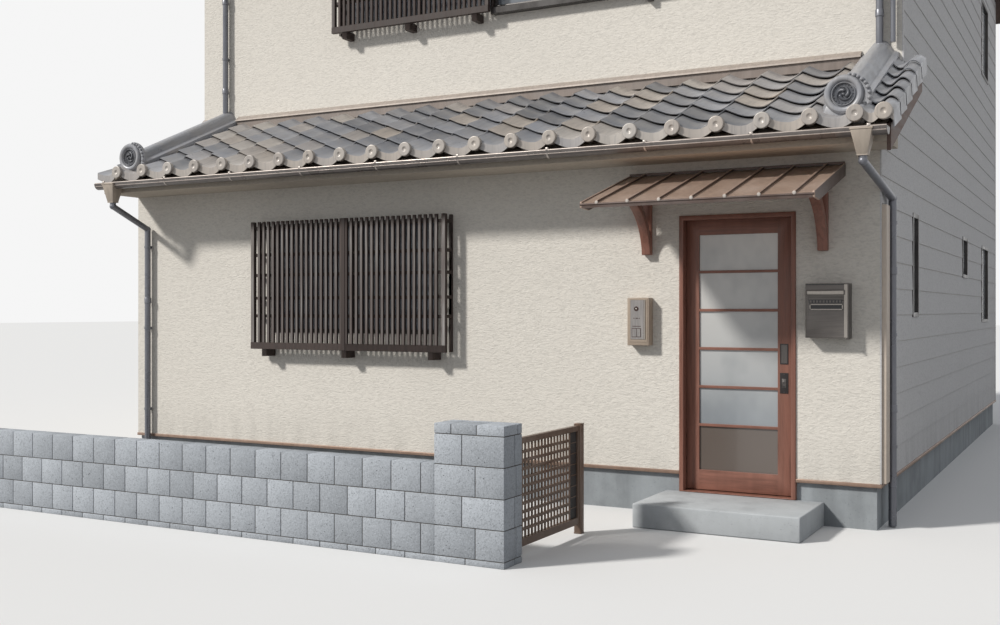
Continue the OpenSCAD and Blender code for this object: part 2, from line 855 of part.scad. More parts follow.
// Downspout on the front wall's left end
module left_downspout() {
    gy = front + pent_gutter_d;
    x = left_funnel_x - 30;
    y = front - spout_gap - spout_d / 2;
    z0 = pent_gutter_z - 3 - funnel_h;
    color("gray") {
        pipe([[left_funnel_x, gy, z0 - seat], [left_funnel_x, gy, z0 - neck],
              [x, y, z0 - bend_drop], [x, y, 8]], spout_d);
        for (z = clamps) clamp_y(x, y, z, spout_d, spout_d / 2 + spout_gap - seat);
    }
}

// Pipes from the main roof's gutter down to the pent roof's ridges
module upper_downspouts() {
    gy = front + main_gutter_d;
    y = upper_y - spout_gap - spout_d / 2;
    z0 = main_gutter_z - 3 - funnel_h;
    foot = pent_top(setback - spout_gap) + tile_t + (ridge_layer + ridge_r) / cos(slope) + seat;
    upper_clamps = [foot + clamp_z, foot + clamp_z + clamp_pitch];
    color("gray") {
        for (x = upper_funnels) {
            pipe([[x, gy, z0 - seat], [x, gy, z0 - neck], [x, y, z0 - bend_drop], [x, y, foot]], spout_d);
            for (z = upper_clamps) clamp_y(x, y, z, spout_d, spout_d / 2 + spout_gap - seat);
        }
        translate([right - ridge_in_right + slim_in, y, foot])
            cylinder(d = slim_d, h = z0 - bend_drop - slim_short - foot, $fn = round);
        for (z = upper_clamps) translate([right - ridge_in_right, y - 8, z]) cube([slim_in, 16, 24]);
    }
}

canopy_x1 = door_x1 + canopy_right;
canopy_x0 = canopy_x1 - canopy_w;
canopy_fall = canopy_drop / canopy_d;

// Metal canopy roof with standing seams and deep side boards
module canopy_roof() {
    seams = floor((canopy_w - 40) / seam_pitch);
    start = canopy_x0 + (canopy_w - seams * seam_pitch) / 2;
    front_z = canopy_z - canopy_drop;
    side_cut = 140;
    side_rise = 46;
    color("sienna") {
        along_front(canopy_x0, canopy_x1)
            polygon([
                [0, canopy_z], [0, canopy_z - canopy_t], [-canopy_d, front_z - canopy_t], [-canopy_d, front_z]
            ]);
        for (i = [0 : seams], x = start + i * seam_pitch) along_front(x - seam_w / 2, x + seam_w / 2)
            polygon([[0, canopy_z - 2], [0, canopy_z + seam_h], [-canopy_d - 6, front_z + seam_h - 2],
                     [-canopy_d - 6, front_z - 12], [-canopy_d + 4, front_z - 12]]);
        for (x = [canopy_x0 - canopy_edge, canopy_x1]) along_front(x, x + canopy_edge)
            polygon([
                [0, canopy_z + 12], [0, canopy_z - canopy_side],
                [side_cut - canopy_d, front_z - canopy_side + side_rise],
                [-canopy_d, front_z - canopy_t], [-canopy_d, front_z + 12]
            ]);
    }
}

// A point on a smooth curve through three guide points
function bend(a, b, c, t) = (1 - t) * (1 - t) * a + 2 * t * (1 - t) * b + t * t * c;

// Outline of a canopy bracket: wall plate, curved strut and arm, open between them
module bracket_outline() {
    under = canopy_z - canopy_t;
    arm_h = 84;
    foot = 62;
    plate = 40;
    reach = bracket_out - 95;
    hole_z = bracket_z + 110;
    difference() {
        polygon(concat(
            [[0, under], [0, bracket_z], [-foot, bracket_z]],
            [for (i = [0 : 8]) bend([-foot, bracket_z + 40], [-foot - 60, bracket_z + 300],
                [-bracket_out, under - canopy_fall * bracket_out - arm_h - 10], i / 8)],
            [[-arm_out, under - canopy_fall * arm_out - arm_h + 24], [-arm_out, under - canopy_fall * arm_out]]
        ));
        polygon(concat(
            [[-plate, hole_z], [-plate, under - arm_h - 14]],
            [[-reach, under - canopy_fall * reach - arm_h - 4]],
            [for (i = [1 : 6]) bend([-reach, under - canopy_fall * reach - arm_h - 4],
                [-foot - 34, hole_z + 220], [-plate, hole_z], i / 6)]
        ));
    }
}

module canopy_brackets() {
    color("indianred") for (x = [canopy_x0 + bracket_in + bracket_w, canopy_x1 - bracket_in])
        along_front(x - bracket_w, x) bracket_outline();
}

// Door frame with a rebate on the right, open behind the leaf on the left,
// and a rail that goes on into the pocket
module door_frame() {
    color("brown") {
        for (y = [[frame_y0, frame_y1, way_x0], [frame_y2, frame_y3, door_x0 - 1]]) difference() {
            span([door_x0, y[0], door_z], [door_x1, y[1], door_top]);
            span([y[2], y[0] - 1, way_z0], [way_x1, y[1] + 1, way_z1]);
        }
        span([rebate_x, frame_y0, door_z], [door_x1, frame_y3, door_top]);
        span([door_x0, frame_y0, leaf_z1 + leaf_over - head_lap], [door_x1, frame_y3, door_top]);
        span([door_x0, frame_y0, door_z], [door_x1, frame_y3, way_z0]);
        span([pocket_x0 + 2, rail_y - rail_w / 2, door_z], [door_x0 + 1, rail_y + rail_w / 2, way_z0]);
    }
}

// Jamb behind the leaf, on the side of the pocket
module inner_jamb() {
    color("brown") span([door_x0, frame_y2, way_z0], [way_x0, frame_y3, way_z1]);
}

// Sliding leaf: stiles, rails and slim bars around the panes, on two runners
module door_leaf() {
    color("brown") for (x = [leaf_x0 + runner_in, leaf_x1 - runner_in - runner_l])
        span([x, rail_y - runner_w / 2, way_z0 + seat], [x + runner_l, rail_y + runner_w / 2, leaf_z0 + 1]);
    color("brown") difference() {
        span([leaf_x0, leaf_y, leaf_z0], [leaf_x1, leaf_y + leaf_t, leaf_z1]);
        span([pane_x0, leaf_y - 1, pane_z0], [pane_x1, leaf_y + leaf_t + 1, low_top]);
        for (i = [0 : panes_high - 1])
            span([pane_x0, leaf_y - 1, low_top + i * pane_step + bar_t],
                 [pane_x1, leaf_y + leaf_t + 1, low_top + (i + 1) * pane_step]);
    }
}

module door_panes() {
    y = leaf_y + leaf_t / 2;
    color("gainsboro") {
        span([pane_x0, y - glass_t / 2, pane_z0], [pane_x1, y + glass_t / 2, low_top]);
        for (i = [0 : panes_high - 1])
            span([pane_x0, y - glass_t / 2, low_top + i * pane_step + bar_t],
                 [pane_x1, y + glass_t / 2, low_top + (i + 1) * pane_step]);
    }
}

// Finger pull with a hollow inside its rim, and the lock plate
module door_plates() {
    rim = 8;
    color("dimgray") {
        difference() {
            span([pull_x - pull_w / 2, leaf_y - plate_t, pull_z - pull_h / 2],
                 [pull_x + pull_w / 2, leaf_y, pull_z + pull_h / 2]);
            span([pull_x - pull_w / 2 + rim, leaf_y - plate_t - 1, pull_z - pull_h / 2 + rim],
                 [pull_x + pull_w / 2 - rim, leaf_y - plate_t / 4, pull_z + pull_h / 2 - rim]);
        }
        span([pull_x - pull_w / 2, leaf_y - plate_t, lock_z - pull_h / 2],
             [pull_x + pull_w / 2, leaf_y, lock_z + pull_h / 2]);
    }
}

module door_step() {
    x1 = door_x1 + step_right;
    color("silver") span([x1 - step_w, front - step_d, 0], [x1, front + base_inset, step_h]);
}

// Lattice box: upright slats on rails, with posts, returns to the wall and stub brackets;
// stop is the gap left behind the right return, where a window frame may stand out
module lattice(x, y, z, w, h, rails, mid, stop) {
    y0 = y - lattice_out;
    rail_y = y0 + slat_t - 4;
    rail_t = 20;
    back_post = 28;
    foot_rail = rail_h + 34;
    stub_in = 160;
    stub_w = 56;
    count = round((w - 2 * post_w) / slat_pitch) - 1;
    step = (w - 2 * post_w) / (count + 1);
    for (i = [1 : count]) {
        sx = x + post_w + i * step;
        span([sx - slat_w / 2, y0, z + rail_h], [sx + slat_w / 2, y0 + slat_t, z + h]);
    }
    rail_z = [for (r = rails) z + r * h - rail_h / 2];
    for (rz = rail_z) span([x + 1, rail_y, rz], [x + w - 1, rail_y + rail_t, rz + rail_h]);
    for (end = [[x, seat], [x + w - post_w, stop]]) {
        px = end[0];
        y1 = y - end[1];
        span([px, y0, z], [px + post_w, y0 + post_w, z + h]);
        span([px + 6, y1 - back_post, z], [px + post_w - 6, y1, z + h]);
        for (rz = rail_z) span([px + 8, y0 + 10, rz], [px + post_w - 8, y1, rz + rail_h]);
    }
    if (mid) span([x + w / 2 - post_w / 2, y0 - 6, z], [x + w / 2 + post_w / 2, y0 + post_w, z + h]);
    span([x, y0 - 4, z], [x + w, y0 + post_w, z + foot_rail]);
    for (sx = [x + stub_in, x + w / 2, x + w - stub_in])
        span([sx - stub_w / 2, y0 + 8, z - stub_h], [sx + stub_w / 2, y - seat, z + 10]);
}

module lower_lattice() {
    color("darkslategray")
        lattice(lattice_x, front, lattice_z, lattice_w, lattice_h, [0.26, 0.4, 0.58, 0.74, 0.95], true, seat);
}

module upper_lattice() {
    color("darkslategray")
        lattice(upper_lattice_x, upper_y, upper_lattice_z, upper_lattice_w, upper_lattice_h,
            [0.26, 0.42, 0.58, 0.74, 0.95], false, win_frame_out + seat);
}

// Frame of a window in the plane of width and height, with n panes between uprights
module sash_outline(w, h, n) {
    pane = (w - (n + 1) * win_frame) / n;
    difference() {
        square([w, h]);
        for (i = [0 : n - 1]) translate([win_frame + i * (pane + win_frame), win_frame])
            square([pane, h - 2 * win_frame]);
    }
}

// Places a window outline in a wall's hole and gives it depth t, from back to front
module in_front_hole(h, y, t) {
    translate([h[0], y + t, h[1]]) rotate([90, 0, 0]) linear_extrude(t) children();
}

module in_side_hole(h, x, t) {
    translate([x, front + h[0], h[1]]) rotate([90, 0, 90]) linear_extrude(t) children();
}

module front_sashes() {
    color("dimgray") {
        in_front_hole(front_hole, front - win_frame_out, win_frame_t)
            sash_outline(front_hole[2], front_hole[3], 2);
        in_front_hole(upper_hole, upper_y - win_frame_out, win_frame_t)
            sash_outline(upper_hole[2], upper_hole[3], 4);
        upper_sill();
    }
}

// Sill under the upper window where the lattice doesn't reach, on a stub bracket
module upper_sill() {
    x0 = upper_lattice_x + upper_lattice_w + seat;
    x1 = upper_hole[0] + upper_hole[2] + 30;
    z = upper_hole[1];
    stub_x = x1 - 240;
    span([x0, upper_y - sill_out, z - sill_t], [x1, upper_y - seat, z]);
    span([stub_x, upper_y - sill_out + 12, z - sill_t - stub_h], [stub_x + 50, upper_y - seat, z - sill_t + 2]);
}

module side_sashes() {
    color("dimgray") for (h = side_holes)
        in_side_hole(h, right + win_frame_out - win_frame_t, win_frame_t) sash_outline(h[2], h[3], 1);
}

module back_sashes() {
    color("dimgray") for (h = back_holes)
        in_front_hole(h, back + win_frame_out - win_frame_t, win_frame_t) sash_outline(h[2], h[3], 2);
}

// The panes that fill a window frame
module pane_outline(w, h, n) {
    pane = (w - (n + 1) * win_frame) / n;
    for (i = [0 : n - 1]) translate([win_frame + i * (pane + win_frame), win_frame])
        square([pane, h - 2 * win_frame]);
}

module window_glass() {
    inset = glass_back - win_frame_out;
    color("lightsteelblue") {
        in_front_hole(front_hole, front + inset, glass_t) pane_outline(front_hole[2], front_hole[3], 2);
        in_front_hole(upper_hole, upper_y + inset, glass_t) pane_outline(upper_hole[2], upper_hole[3], 4);
        for (h = side_holes) in_side_hole(h, right - inset - glass_t, glass_t) pane_outline(h[2], h[3], 1);
        for (h = back_holes) in_front_hole(h, back - inset - glass_t, glass_t) pane_outline(h[2], h[3], 2);
    }
}

// Intercom box with a raised face plate and a round lens
module intercom() {
    x0 = door_x0 - intercom_gap - intercom_w;
    y = front - intercom_t;
    rim = 15;
    raised = 6;
    lens_z = intercom_z + intercom_h * 0.78;
    color("wheat") {
        span([x0, y, intercom_z], [x0 + intercom_w, front - seat, intercom_z + intercom_h]);
        span([x0 + rim, y - raised, intercom_z + rim],
             [x0 + intercom_w - rim, y, intercom_z + intercom_h - rim]);
        translate([x0 + intercom_w / 2, y - raised + 1, lens_z]) rotate([90, 0, 0])
            cylinder(d = lens_d, h = 10, $fn = round);
    }
}

// Mailbox with a hood over its slot and a framed window
module mailbox() {
    x0 = door_x1 + mailbox_gap;
    x1 = x0 + mailbox_w;
    y = front - mailbox_t;
    top = mailbox_z + mailbox_h;
    slot_z = top - 196;
    slot_h = 38;
    row_z = top - 130;
    row_h = 28;
    lip_z = top - 86;
    lip_h = 36;
    ledge_w = 18;
    color("silver") {
        difference() {
            span([x0, y, mailbox_z], [x1, front - seat, top]);
            span([x0 + 36, y - 1, slot_z], [x1 - 44, y + 26, slot_z + slot_h]);
            span([x0 + 24, y - 1, row_z], [x1 - 30, y + 6, row_z + row_h]);
        }
        span([x0 + 8, y - 10, lip_z], [x1 - 26, y, lip_z + lip_h]);
        span([x1 - ledge_w, y - 8, mailbox_z - 8], [x1, front - seat, mailbox_z + 1]);
    }
}

// Flat cover over pipes at the front corner of the free side
module pipe_cover() {
    top = pent_gutter_z - 3 - funnel_h - bend_drop - cover_gap;
    color("wheat") span([right + seat, front + cover_in, base_h + 2],
                        [right + cover_t, front + cover_in + cover_w, top]);
}

// Block wall along the street with its capped pillar
module street_wall() {
    color("lightgray") {
        span([left, yard_y, 0], [pillar_x0, yard_y + fence_wall_t, fence_wall_h]);
        span([pillar_x0, yard_y, 0], [pillar_x1, yard_y + pillar_d, pillar_h]);
    }
}

// Lattice fence panel from the pillar back to its own post
module fence_panel() {
    x0 = panel_x - panel_t / 2;
    y1 = panel_y + panel_l;
    z1 = panel_z + panel_h;
    count = round((panel_l - 2 * panel_frame) / panel_pitch) - 1;
    step = (panel_l - 2 * panel_frame) / (count + 1);
    row = (panel_h - 2 * panel_frame) / panel_rows;
    color("dimgray") {
        difference() {
            span([x0, panel_y, panel_z], [x0 + panel_t, y1, z1]);
            span([x0 - 1, panel_y + panel_frame, panel_z + panel_frame],
                 [x0 + panel_t + 1, y1 - panel_frame, z1 - panel_frame]);
        }
        for (i = [1 : count])
            span([x0 + 6, panel_y + panel_frame + i * step - panel_bar / 2, panel_z + 1],
                 [x0 + 16, panel_y + panel_frame + i * step + panel_bar / 2, z1 - 1]);
        for (i = [1 : panel_rows - 1])
            span([x0 + 12, panel_y + 1, panel_z + panel_frame + i * row - panel_bar / 2],
                 [x0 + 24, y1 - 1, panel_z + panel_frame + i * row + panel_bar / 2]);
        translate([panel_x, y1 + fence_post_d / 2 - 12, 0])
            cylinder(d = fence_post_d, h = z1 + 14, $fn = round);
    }
}

foundation();
ground_floor();
upper_floor();
front_wall_left();
front_wall_right();
door_lintel_wall();
pocket_lining();
inner_jamb();
upper_front_wall();
left_party_wall();
right_side_wall();
back_wall();
drip_strip();
pent_roof();
pent_tiles();
pent_apron();
pent_ridges();
main_roof();
main_tiles();
main_ridge();
bargeboards();
pent_gutter();
main_gutters();
right_downspout();
left_downspout();
upper_downspouts();
canopy_roof();
canopy_brackets();
door_frame();
door_leaf();
door_panes();
door_plates();
door_step();
lower_lattice();
upper_lattice();
front_sashes();
side_sashes();
back_sashes();
window_glass();
intercom();
mailbox();
pipe_cover();
street_wall();
fence_panel();
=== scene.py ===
import math
import random

import bmesh
import bpy
from mathutils import Matrix, Vector


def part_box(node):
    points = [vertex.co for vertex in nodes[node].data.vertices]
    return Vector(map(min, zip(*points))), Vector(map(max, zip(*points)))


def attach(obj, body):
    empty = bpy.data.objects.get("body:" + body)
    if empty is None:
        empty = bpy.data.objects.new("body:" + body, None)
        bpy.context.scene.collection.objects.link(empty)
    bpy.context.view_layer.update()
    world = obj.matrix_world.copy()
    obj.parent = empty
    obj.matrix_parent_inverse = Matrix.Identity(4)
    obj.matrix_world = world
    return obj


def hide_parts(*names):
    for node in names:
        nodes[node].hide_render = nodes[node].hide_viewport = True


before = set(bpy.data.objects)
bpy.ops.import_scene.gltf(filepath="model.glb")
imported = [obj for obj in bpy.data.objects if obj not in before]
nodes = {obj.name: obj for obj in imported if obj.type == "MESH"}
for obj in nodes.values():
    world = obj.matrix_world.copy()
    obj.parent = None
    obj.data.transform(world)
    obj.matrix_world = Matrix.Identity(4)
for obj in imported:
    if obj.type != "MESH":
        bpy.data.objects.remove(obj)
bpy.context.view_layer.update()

print("frame loaded:", len(nodes), "nodes")


# Lines that most pieces are set out from
def lowOf(name):
    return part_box(name)[0]


def highOf(name):
    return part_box(name)[1]


frontY = lowOf("front_wall_left").y   # face of the lower front
upperY = lowOf("upper_front_wall").y  # face of the upper front
backY = highOf("back_wall").y
partyX = lowOf("left_party_wall").x
sideX = highOf("right_side_wall").x
vergeX = highOf("pent_tiles").x
ridgeY = (lowOf("main_ridge").y + highOf("main_ridge").y) / 2
roofPitch = 0.45
slopeAngle = math.atan(roofPitch)


# Top of the roof boards over a line along the house
def pentBoards(y):
    return highOf("pent_roof").z - roofPitch * (upperY - y)


def mainBoards(y):
    return highOf("main_roof").z - roofPitch * abs(y - ridgeY)


# Node helpers for the materials
class Paint:
    def __init__(self, name, roughness=0.6, metallic=0.0, specular=0.5):
        self.material = bpy.data.materials.new(name)
        self.material.use_nodes = True
        self.tree = self.material.node_tree
        self.shader = self.tree.nodes["Principled BSDF"]
        self.set("Roughness", roughness)
        self.set("Metallic", metallic)
        self.set("Specular IOR Level", specular)
        self.coords = self.tree.nodes.new("ShaderNodeTexCoord").outputs["Object"]

    # Another socket's output, a number, a vector or a colour goes into a socket
    def feed(self, socket, value):
        if isinstance(value, bpy.types.NodeSocket):
            self.tree.links.new(value, socket)
        else:
            socket.default_value = (*value, 1) if socket.type == "RGBA" else value

    def add(self, kind, sockets=None, **settings):
        node = self.tree.nodes.new(kind)
        for key, value in settings.items():
            setattr(node, key, value)
        for key, value in (sockets or {}).items():
            self.feed(node.inputs[key], value)
        return node

    def set(self, socket, value):
        self.feed(self.shader.inputs[socket], value)

    def colour(self, value):
        self.set("Base Color", value)

    def rough(self, value):
        self.set("Roughness", value)

    def bump(self, height, depth):
        normal = self.shader.inputs["Normal"]
        node = self.add("ShaderNodeBump", {"Height": height, "Distance": depth})
        if normal.is_linked:
            self.feed(node.inputs["Normal"], normal.links[0].from_socket)
        self.set("Normal", node.outputs["Normal"])

    def mapped(self, scale):
        return self.add("ShaderNodeMapping", {"Vector": self.coords, "Scale": scale}).outputs["Vector"]

    def axis(self, name):
        return self.add("ShaderNodeSeparateXYZ", {"Vector": self.coords}).outputs[name]

    def attribute(self, name):
        return self.add("ShaderNodeAttribute", attribute_name=name).outputs["Fac"]

    def noise(self, scale, vector=None, detail=4.0, rough=0.55, bend=0.0):
        sockets = {"Vector": vector or self.coords, "Scale": scale, "Detail": detail, "Roughness": rough,
                   "Distortion": bend}
        return self.add("ShaderNodeTexNoise", sockets).outputs["Fac"]

    def cells(self, scale):
        return self.add("ShaderNodeTexVoronoi", {"Vector": self.coords, "Scale": scale}).outputs["Distance"]

    def ramp(self, factor, stops):
        node = self.add("ShaderNodeValToRGB", {"Fac": factor})
        elements = node.color_ramp.elements
        for element, (place, colour) in zip(elements, (stops[0], stops[-1])):
            element.position, element.color = place, (*colour, 1)
        for place, colour in stops[1:-1]:
            elements.new(place).color = (*colour, 1)
        return node.outputs["Color"]

    def range(self, factor, low, high, start=0.0, end=1.0):
        sockets = {"Value": factor, "From Min": start, "From Max": end, "To Min": low, "To Max": high}
        return self.add("ShaderNodeMapRange", sockets).outputs["Result"]

    def math(self, kind, first, second):
        return self.add("ShaderNodeMath", {0: first, 1: second}, operation=kind).outputs["Value"]

    def blend(self, factor, first, second):
        return self.add("ShaderNodeMix", {0: factor, 6: first, 7: second}, data_type="RGBA").outputs[2]

    # The second colour over the first, up to a share, where a pattern climbs from start to end
    def over(self, first, second, pattern, share, start, end):
        return self.blend(self.range(pattern, 0.0, share, start, end), first, second)


def shade(colour, factor):
    return tuple(min(1.0, part * factor) for part in colour)


# Scale of a pattern that is drawn out along one axis, 0 to 2
def grainAlong(axis, along, across):
    return tuple(along if i == axis else across for i in range(3))


# Cream stucco, raked across in short ridges, with a little grime at the foot
stuccoLook = {"colour": (0.79, 0.752, 0.69), "ridge": (28, 28, 66), "grain": 110, "depth": 0.007,
              "grimeTop": 0.75, "grimeFoot": 0.33}


def stucco(name="stucco", tint=(1, 1, 1), depth=1.0, grime=0.45):
    look = stuccoLook
    base = tuple(a * b for a, b in zip(look["colour"], tint))
    paint = Paint(name, roughness=0.92, specular=0.2)
    ridges = paint.noise(1.0, paint.mapped(look["ridge"]), detail=5, rough=0.6, bend=0.6)
    grain = paint.noise(look["grain"], detail=3)
    clouds = paint.noise(0.7, detail=5)
    drips = paint.noise(1.0, paint.mapped((7, 7, 0.8)), detail=5)
    # Colour follows the raked ridges: darker in their hollows, lighter on their crests
    ridgeToned = paint.ramp(ridges, [(0.3, shade(base, 0.84)), (0.52, base), (0.75, shade(base, 1.06))])
    aged = paint.over(ridgeToned, shade(base, 0.9), clouds, 0.35, 0.35, 0.7)
    foot = paint.range(paint.axis("Z"), 0.0, grime, look["grimeTop"], look["grimeFoot"])
    soiled = paint.math("MULTIPLY", foot, paint.range(drips, 0.2, 1.0, 0.4, 0.65))
    paint.colour(paint.blend(soiled, aged, shade(base, 0.62)))
    paint.bump(ridges, look["depth"] * depth)
    paint.bump(grain, 0.0018)
    return paint.material


def concrete(name, colour, pores=0.6, streak=0.25):
    paint = Paint(name, roughness=0.88, specular=0.25)
    clouds = paint.noise(2.2, detail=7, rough=0.62)
    grain = paint.noise(140, detail=2)
    holes = paint.range(paint.cells(38), 1.0, 0.0, 0.03, 0.16)
    drips = paint.noise(1.0, paint.mapped((5, 5, 0.7)), detail=5)
    mottled = paint.ramp(clouds, [(0.28, shade(colour, 0.74)), (0.5, colour), (0.74, shade(colour, 1.14))])
    stained = paint.over(mottled, shade(colour, 0.5), drips, streak, 0.45, 0.75)
    paint.colour(paint.blend(paint.math("MULTIPLY", holes, pores), stained, shade(colour, 0.5)))
    paint.bump(grain, 0.0014)
    paint.bump(holes, -0.002)
    return paint.material


# Pale speckled concrete blocks, each in its own tone
def blockwork(name, colour):
    paint = Paint(name, roughness=0.9, specular=0.25)
    clouds = paint.noise(5, detail=6)
    speckle = paint.noise(95, detail=3, rough=0.7)
    pits = paint.range(paint.cells(30), 1.0, 0.0, 0.05, 0.14)
    patch = paint.range(paint.noise(4.5, detail=2), 0.0, 1.0, 0.47, 0.6)
    tone = paint.math("MULTIPLY", paint.math("ADD", clouds, paint.attribute("blockTone")), 0.5)
    base = paint.ramp(tone, [(0.2, shade(colour, 0.8)), (0.5, colour), (0.8, shade(colour, 1.14))])
    dotted = paint.over(base, shade(colour, 0.52), speckle, 0.75, 0.5, 0.7)
    light = paint.blend(paint.range(speckle, 0.6, 0.0, 0.28, 0.42), dotted, shade(colour, 1.35))
    paint.colour(paint.blend(paint.math("MULTIPLY", pits, patch), light, (0.07, 0.07, 0.08)))
    paint.bump(speckle, 0.003)
    paint.bump(pits, -0.004)
    return paint.material


# Timber with its grain along one axis, 0 to 2; rails (axis, low, high) have theirs across
def timber(name, colour, along=2, gloss=0.45, contrast=0.5, coat=0.0, rails=None):
    paint = Paint(name, roughness=gloss, specular=0.4)

    def fibresAlong(axis):
        return paint.noise(1.0, paint.mapped(grainAlong(axis, 2.2, 38)), detail=7, rough=0.65, bend=0.4)

    fibres = fibresAlong(along)
    if rails:
        axis, low, high = rails
        place = paint.axis(axis)
        within = paint.math("MULTIPLY", paint.math("GREATER_THAN", place, low),
                            paint.math("LESS_THAN", place, high))
        fibres = paint.blend(within, fibres, fibresAlong(0))
    bands = paint.noise(0.28, paint.mapped(grainAlong(along, 0.35, 38)), detail=3)
    base = paint.ramp(fibres, [(0.3, shade(colour, 1 - contrast)), (0.5, colour),
                               (0.72, shade(colour, 1 + contrast * 0.6))])
    paint.colour(paint.over(base, shade(colour, 0.62), bands, 0.4, 0.4, 0.65))
    paint.rough(paint.range(fibres, gloss - 0.08, gloss + 0.16, 0.3, 0.7))
    paint.set("Coat Weight", coat)
    paint.set("Coat Roughness", 0.25)
    paint.bump(fibres, 0.0012)
    return paint.material


# Coated sheet metal with faint dust and scuffs
def sheetMetal(name, colour, gloss=0.42, metallic=0.35, dust=0.3):
    paint = Paint(name, roughness=gloss, metallic=metallic)
    film = paint.noise(3.5, detail=6)
    scuff = paint.noise(1.0, paint.mapped((26, 26, 4)), detail=4)
    base = paint.ramp(scuff, [(0.32, shade(colour, 0.86)), (0.55, colour), (0.8, shade(colour, 1.16))])
    grey = tuple(0.5 * part + 0.16 for part in colour)
    paint.colour(paint.over(base, grey, film, dust, 0.42, 0.72))
    paint.rough(paint.range(film, gloss - 0.08, gloss + 0.2, 0.35, 0.75))
    paint.bump(film, 0.0005)
    return paint.material


# Smoked clay tiles: silver-grey, each tile a little lighter, bluer or browner than its neighbours
def smokedTile(name, colour):
    paint = Paint(name, roughness=0.34, metallic=0.15)
    film = paint.noise(7, detail=6, rough=0.6)
    brush = paint.noise(1.0, paint.mapped(grainAlong(0, 60, 5)), detail=4)
    red, green, blue = colour
    tones = [(0.0, shade(colour, 0.62)), (0.3, colour), (0.55, shade(colour, 1.22)),
             (0.84, (red * 1.6, green * 1.38, blue * 1.12)), (1.0, (red * 1.75, green * 1.6, blue * 1.38))]
    base = paint.ramp(paint.attribute("tileTone"), tones)
    smoky = paint.over(base, shade((1.0, 0.92, 0.84), red * 1.25), film, 0.45, 0.4, 0.72)
    paint.colour(paint.over(smoky, shade(colour, 0.55), brush, 0.3, 0.45, 0.7))
    paint.rough(paint.range(film, 0.26, 0.5, 0.3, 0.7))
    paint.bump(film, 0.0015)
    paint.bump(brush, 0.0006)
    return paint.material


def brushedSteel(name, colour, along=0):
    paint = Paint(name, roughness=0.34, metallic=0.85)
    hairs = paint.noise(1.0, paint.mapped(grainAlong(along, 5, 240)), detail=3)
    film = paint.noise(6, detail=4)
    base = paint.ramp(hairs, [(0.3, shade(colour, 0.82)), (0.7, shade(colour, 1.12))])
    paint.colour(paint.over(base, shade(colour, 0.7), film, 0.4, 0.35, 0.7))
    paint.rough(paint.range(hairs, 0.28, 0.46, 0.3, 0.7))
    paint.bump(hairs, 0.0002)
    return paint.material


# Opal glass that lets no clear view through, graded in colour from its foot up; a smoked pane may end it
# below
def opalGlass(name, top, foot, low, high, gloss=0.14, smoked=None):
    paint = Paint(name, roughness=gloss, specular=0.6)
    height = paint.range(paint.axis("Z"), 0.0, 1.0, low, high)
    cloud = paint.noise(1.0, paint.mapped((2.4, 2.4, 1.7)), detail=3)
    middle = tuple((a + b) / 2 for a, b in zip(top, foot))
    fade = paint.ramp(height, [(0.0, foot), (0.45, middle), (1.0, top)])
    glass = paint.over(fade, shade(foot, 0.72), cloud, 0.45, 0.45, 0.68)
    if smoked:
        step = paint.range(paint.axis("Z"), 1.0, 0.0, smoked["edge"] - 0.004, smoked["edge"] + 0.004)
        glass = paint.blend(step, glass, smoked["colour"])
    paint.colour(glass)
    paint.set("Coat Weight", 0.6)
    paint.set("Coat Roughness", 0.04)
    paint.bump(paint.noise(260, detail=1), 0.0003)
    return paint.material


def moulded(name, colour, gloss=0.5):
    paint = Paint(name, roughness=gloss)
    film = paint.noise(14, detail=4)
    paint.colour(paint.ramp(film, [(0.3, shade(colour, 0.93)), (0.7, shade(colour, 1.05))]))
    paint.rough(paint.range(film, gloss - 0.06, gloss + 0.1, 0.3, 0.7))
    paint.bump(paint.noise(420, detail=2), 0.0004)
    return paint.material


def floorBoards(name, colour):
    paint = Paint(name, roughness=0.5)
    fibres = paint.noise(1.0, paint.mapped(grainAlong(0, 2, 46)), detail=6, bend=0.5)
    rows = paint.add("ShaderNodeTexBrick", {
        "Vector": paint.coords, "Scale": 1.0, "Mortar Size": 0.003, "Brick Width": 1.8, "Row Height": 0.12,
        "Color1": shade(colour, 0.85), "Color2": shade(colour, 1.1), "Mortar": shade(colour, 0.3),
    }, offset=0.4, squash=1.0)
    paint.colour(paint.over(rows.outputs["Color"], shade(colour, 0.6), fibres, 0.4, 0.45, 0.7))
    paint.bump(paint.math("SUBTRACT", fibres, rows.outputs["Fac"]), 0.001)
    return paint.material


def redTimber(name, rails=None):
    return timber(name, (0.25, 0.11, 0.078), contrast=0.36, coat=0.15, rails=rails)


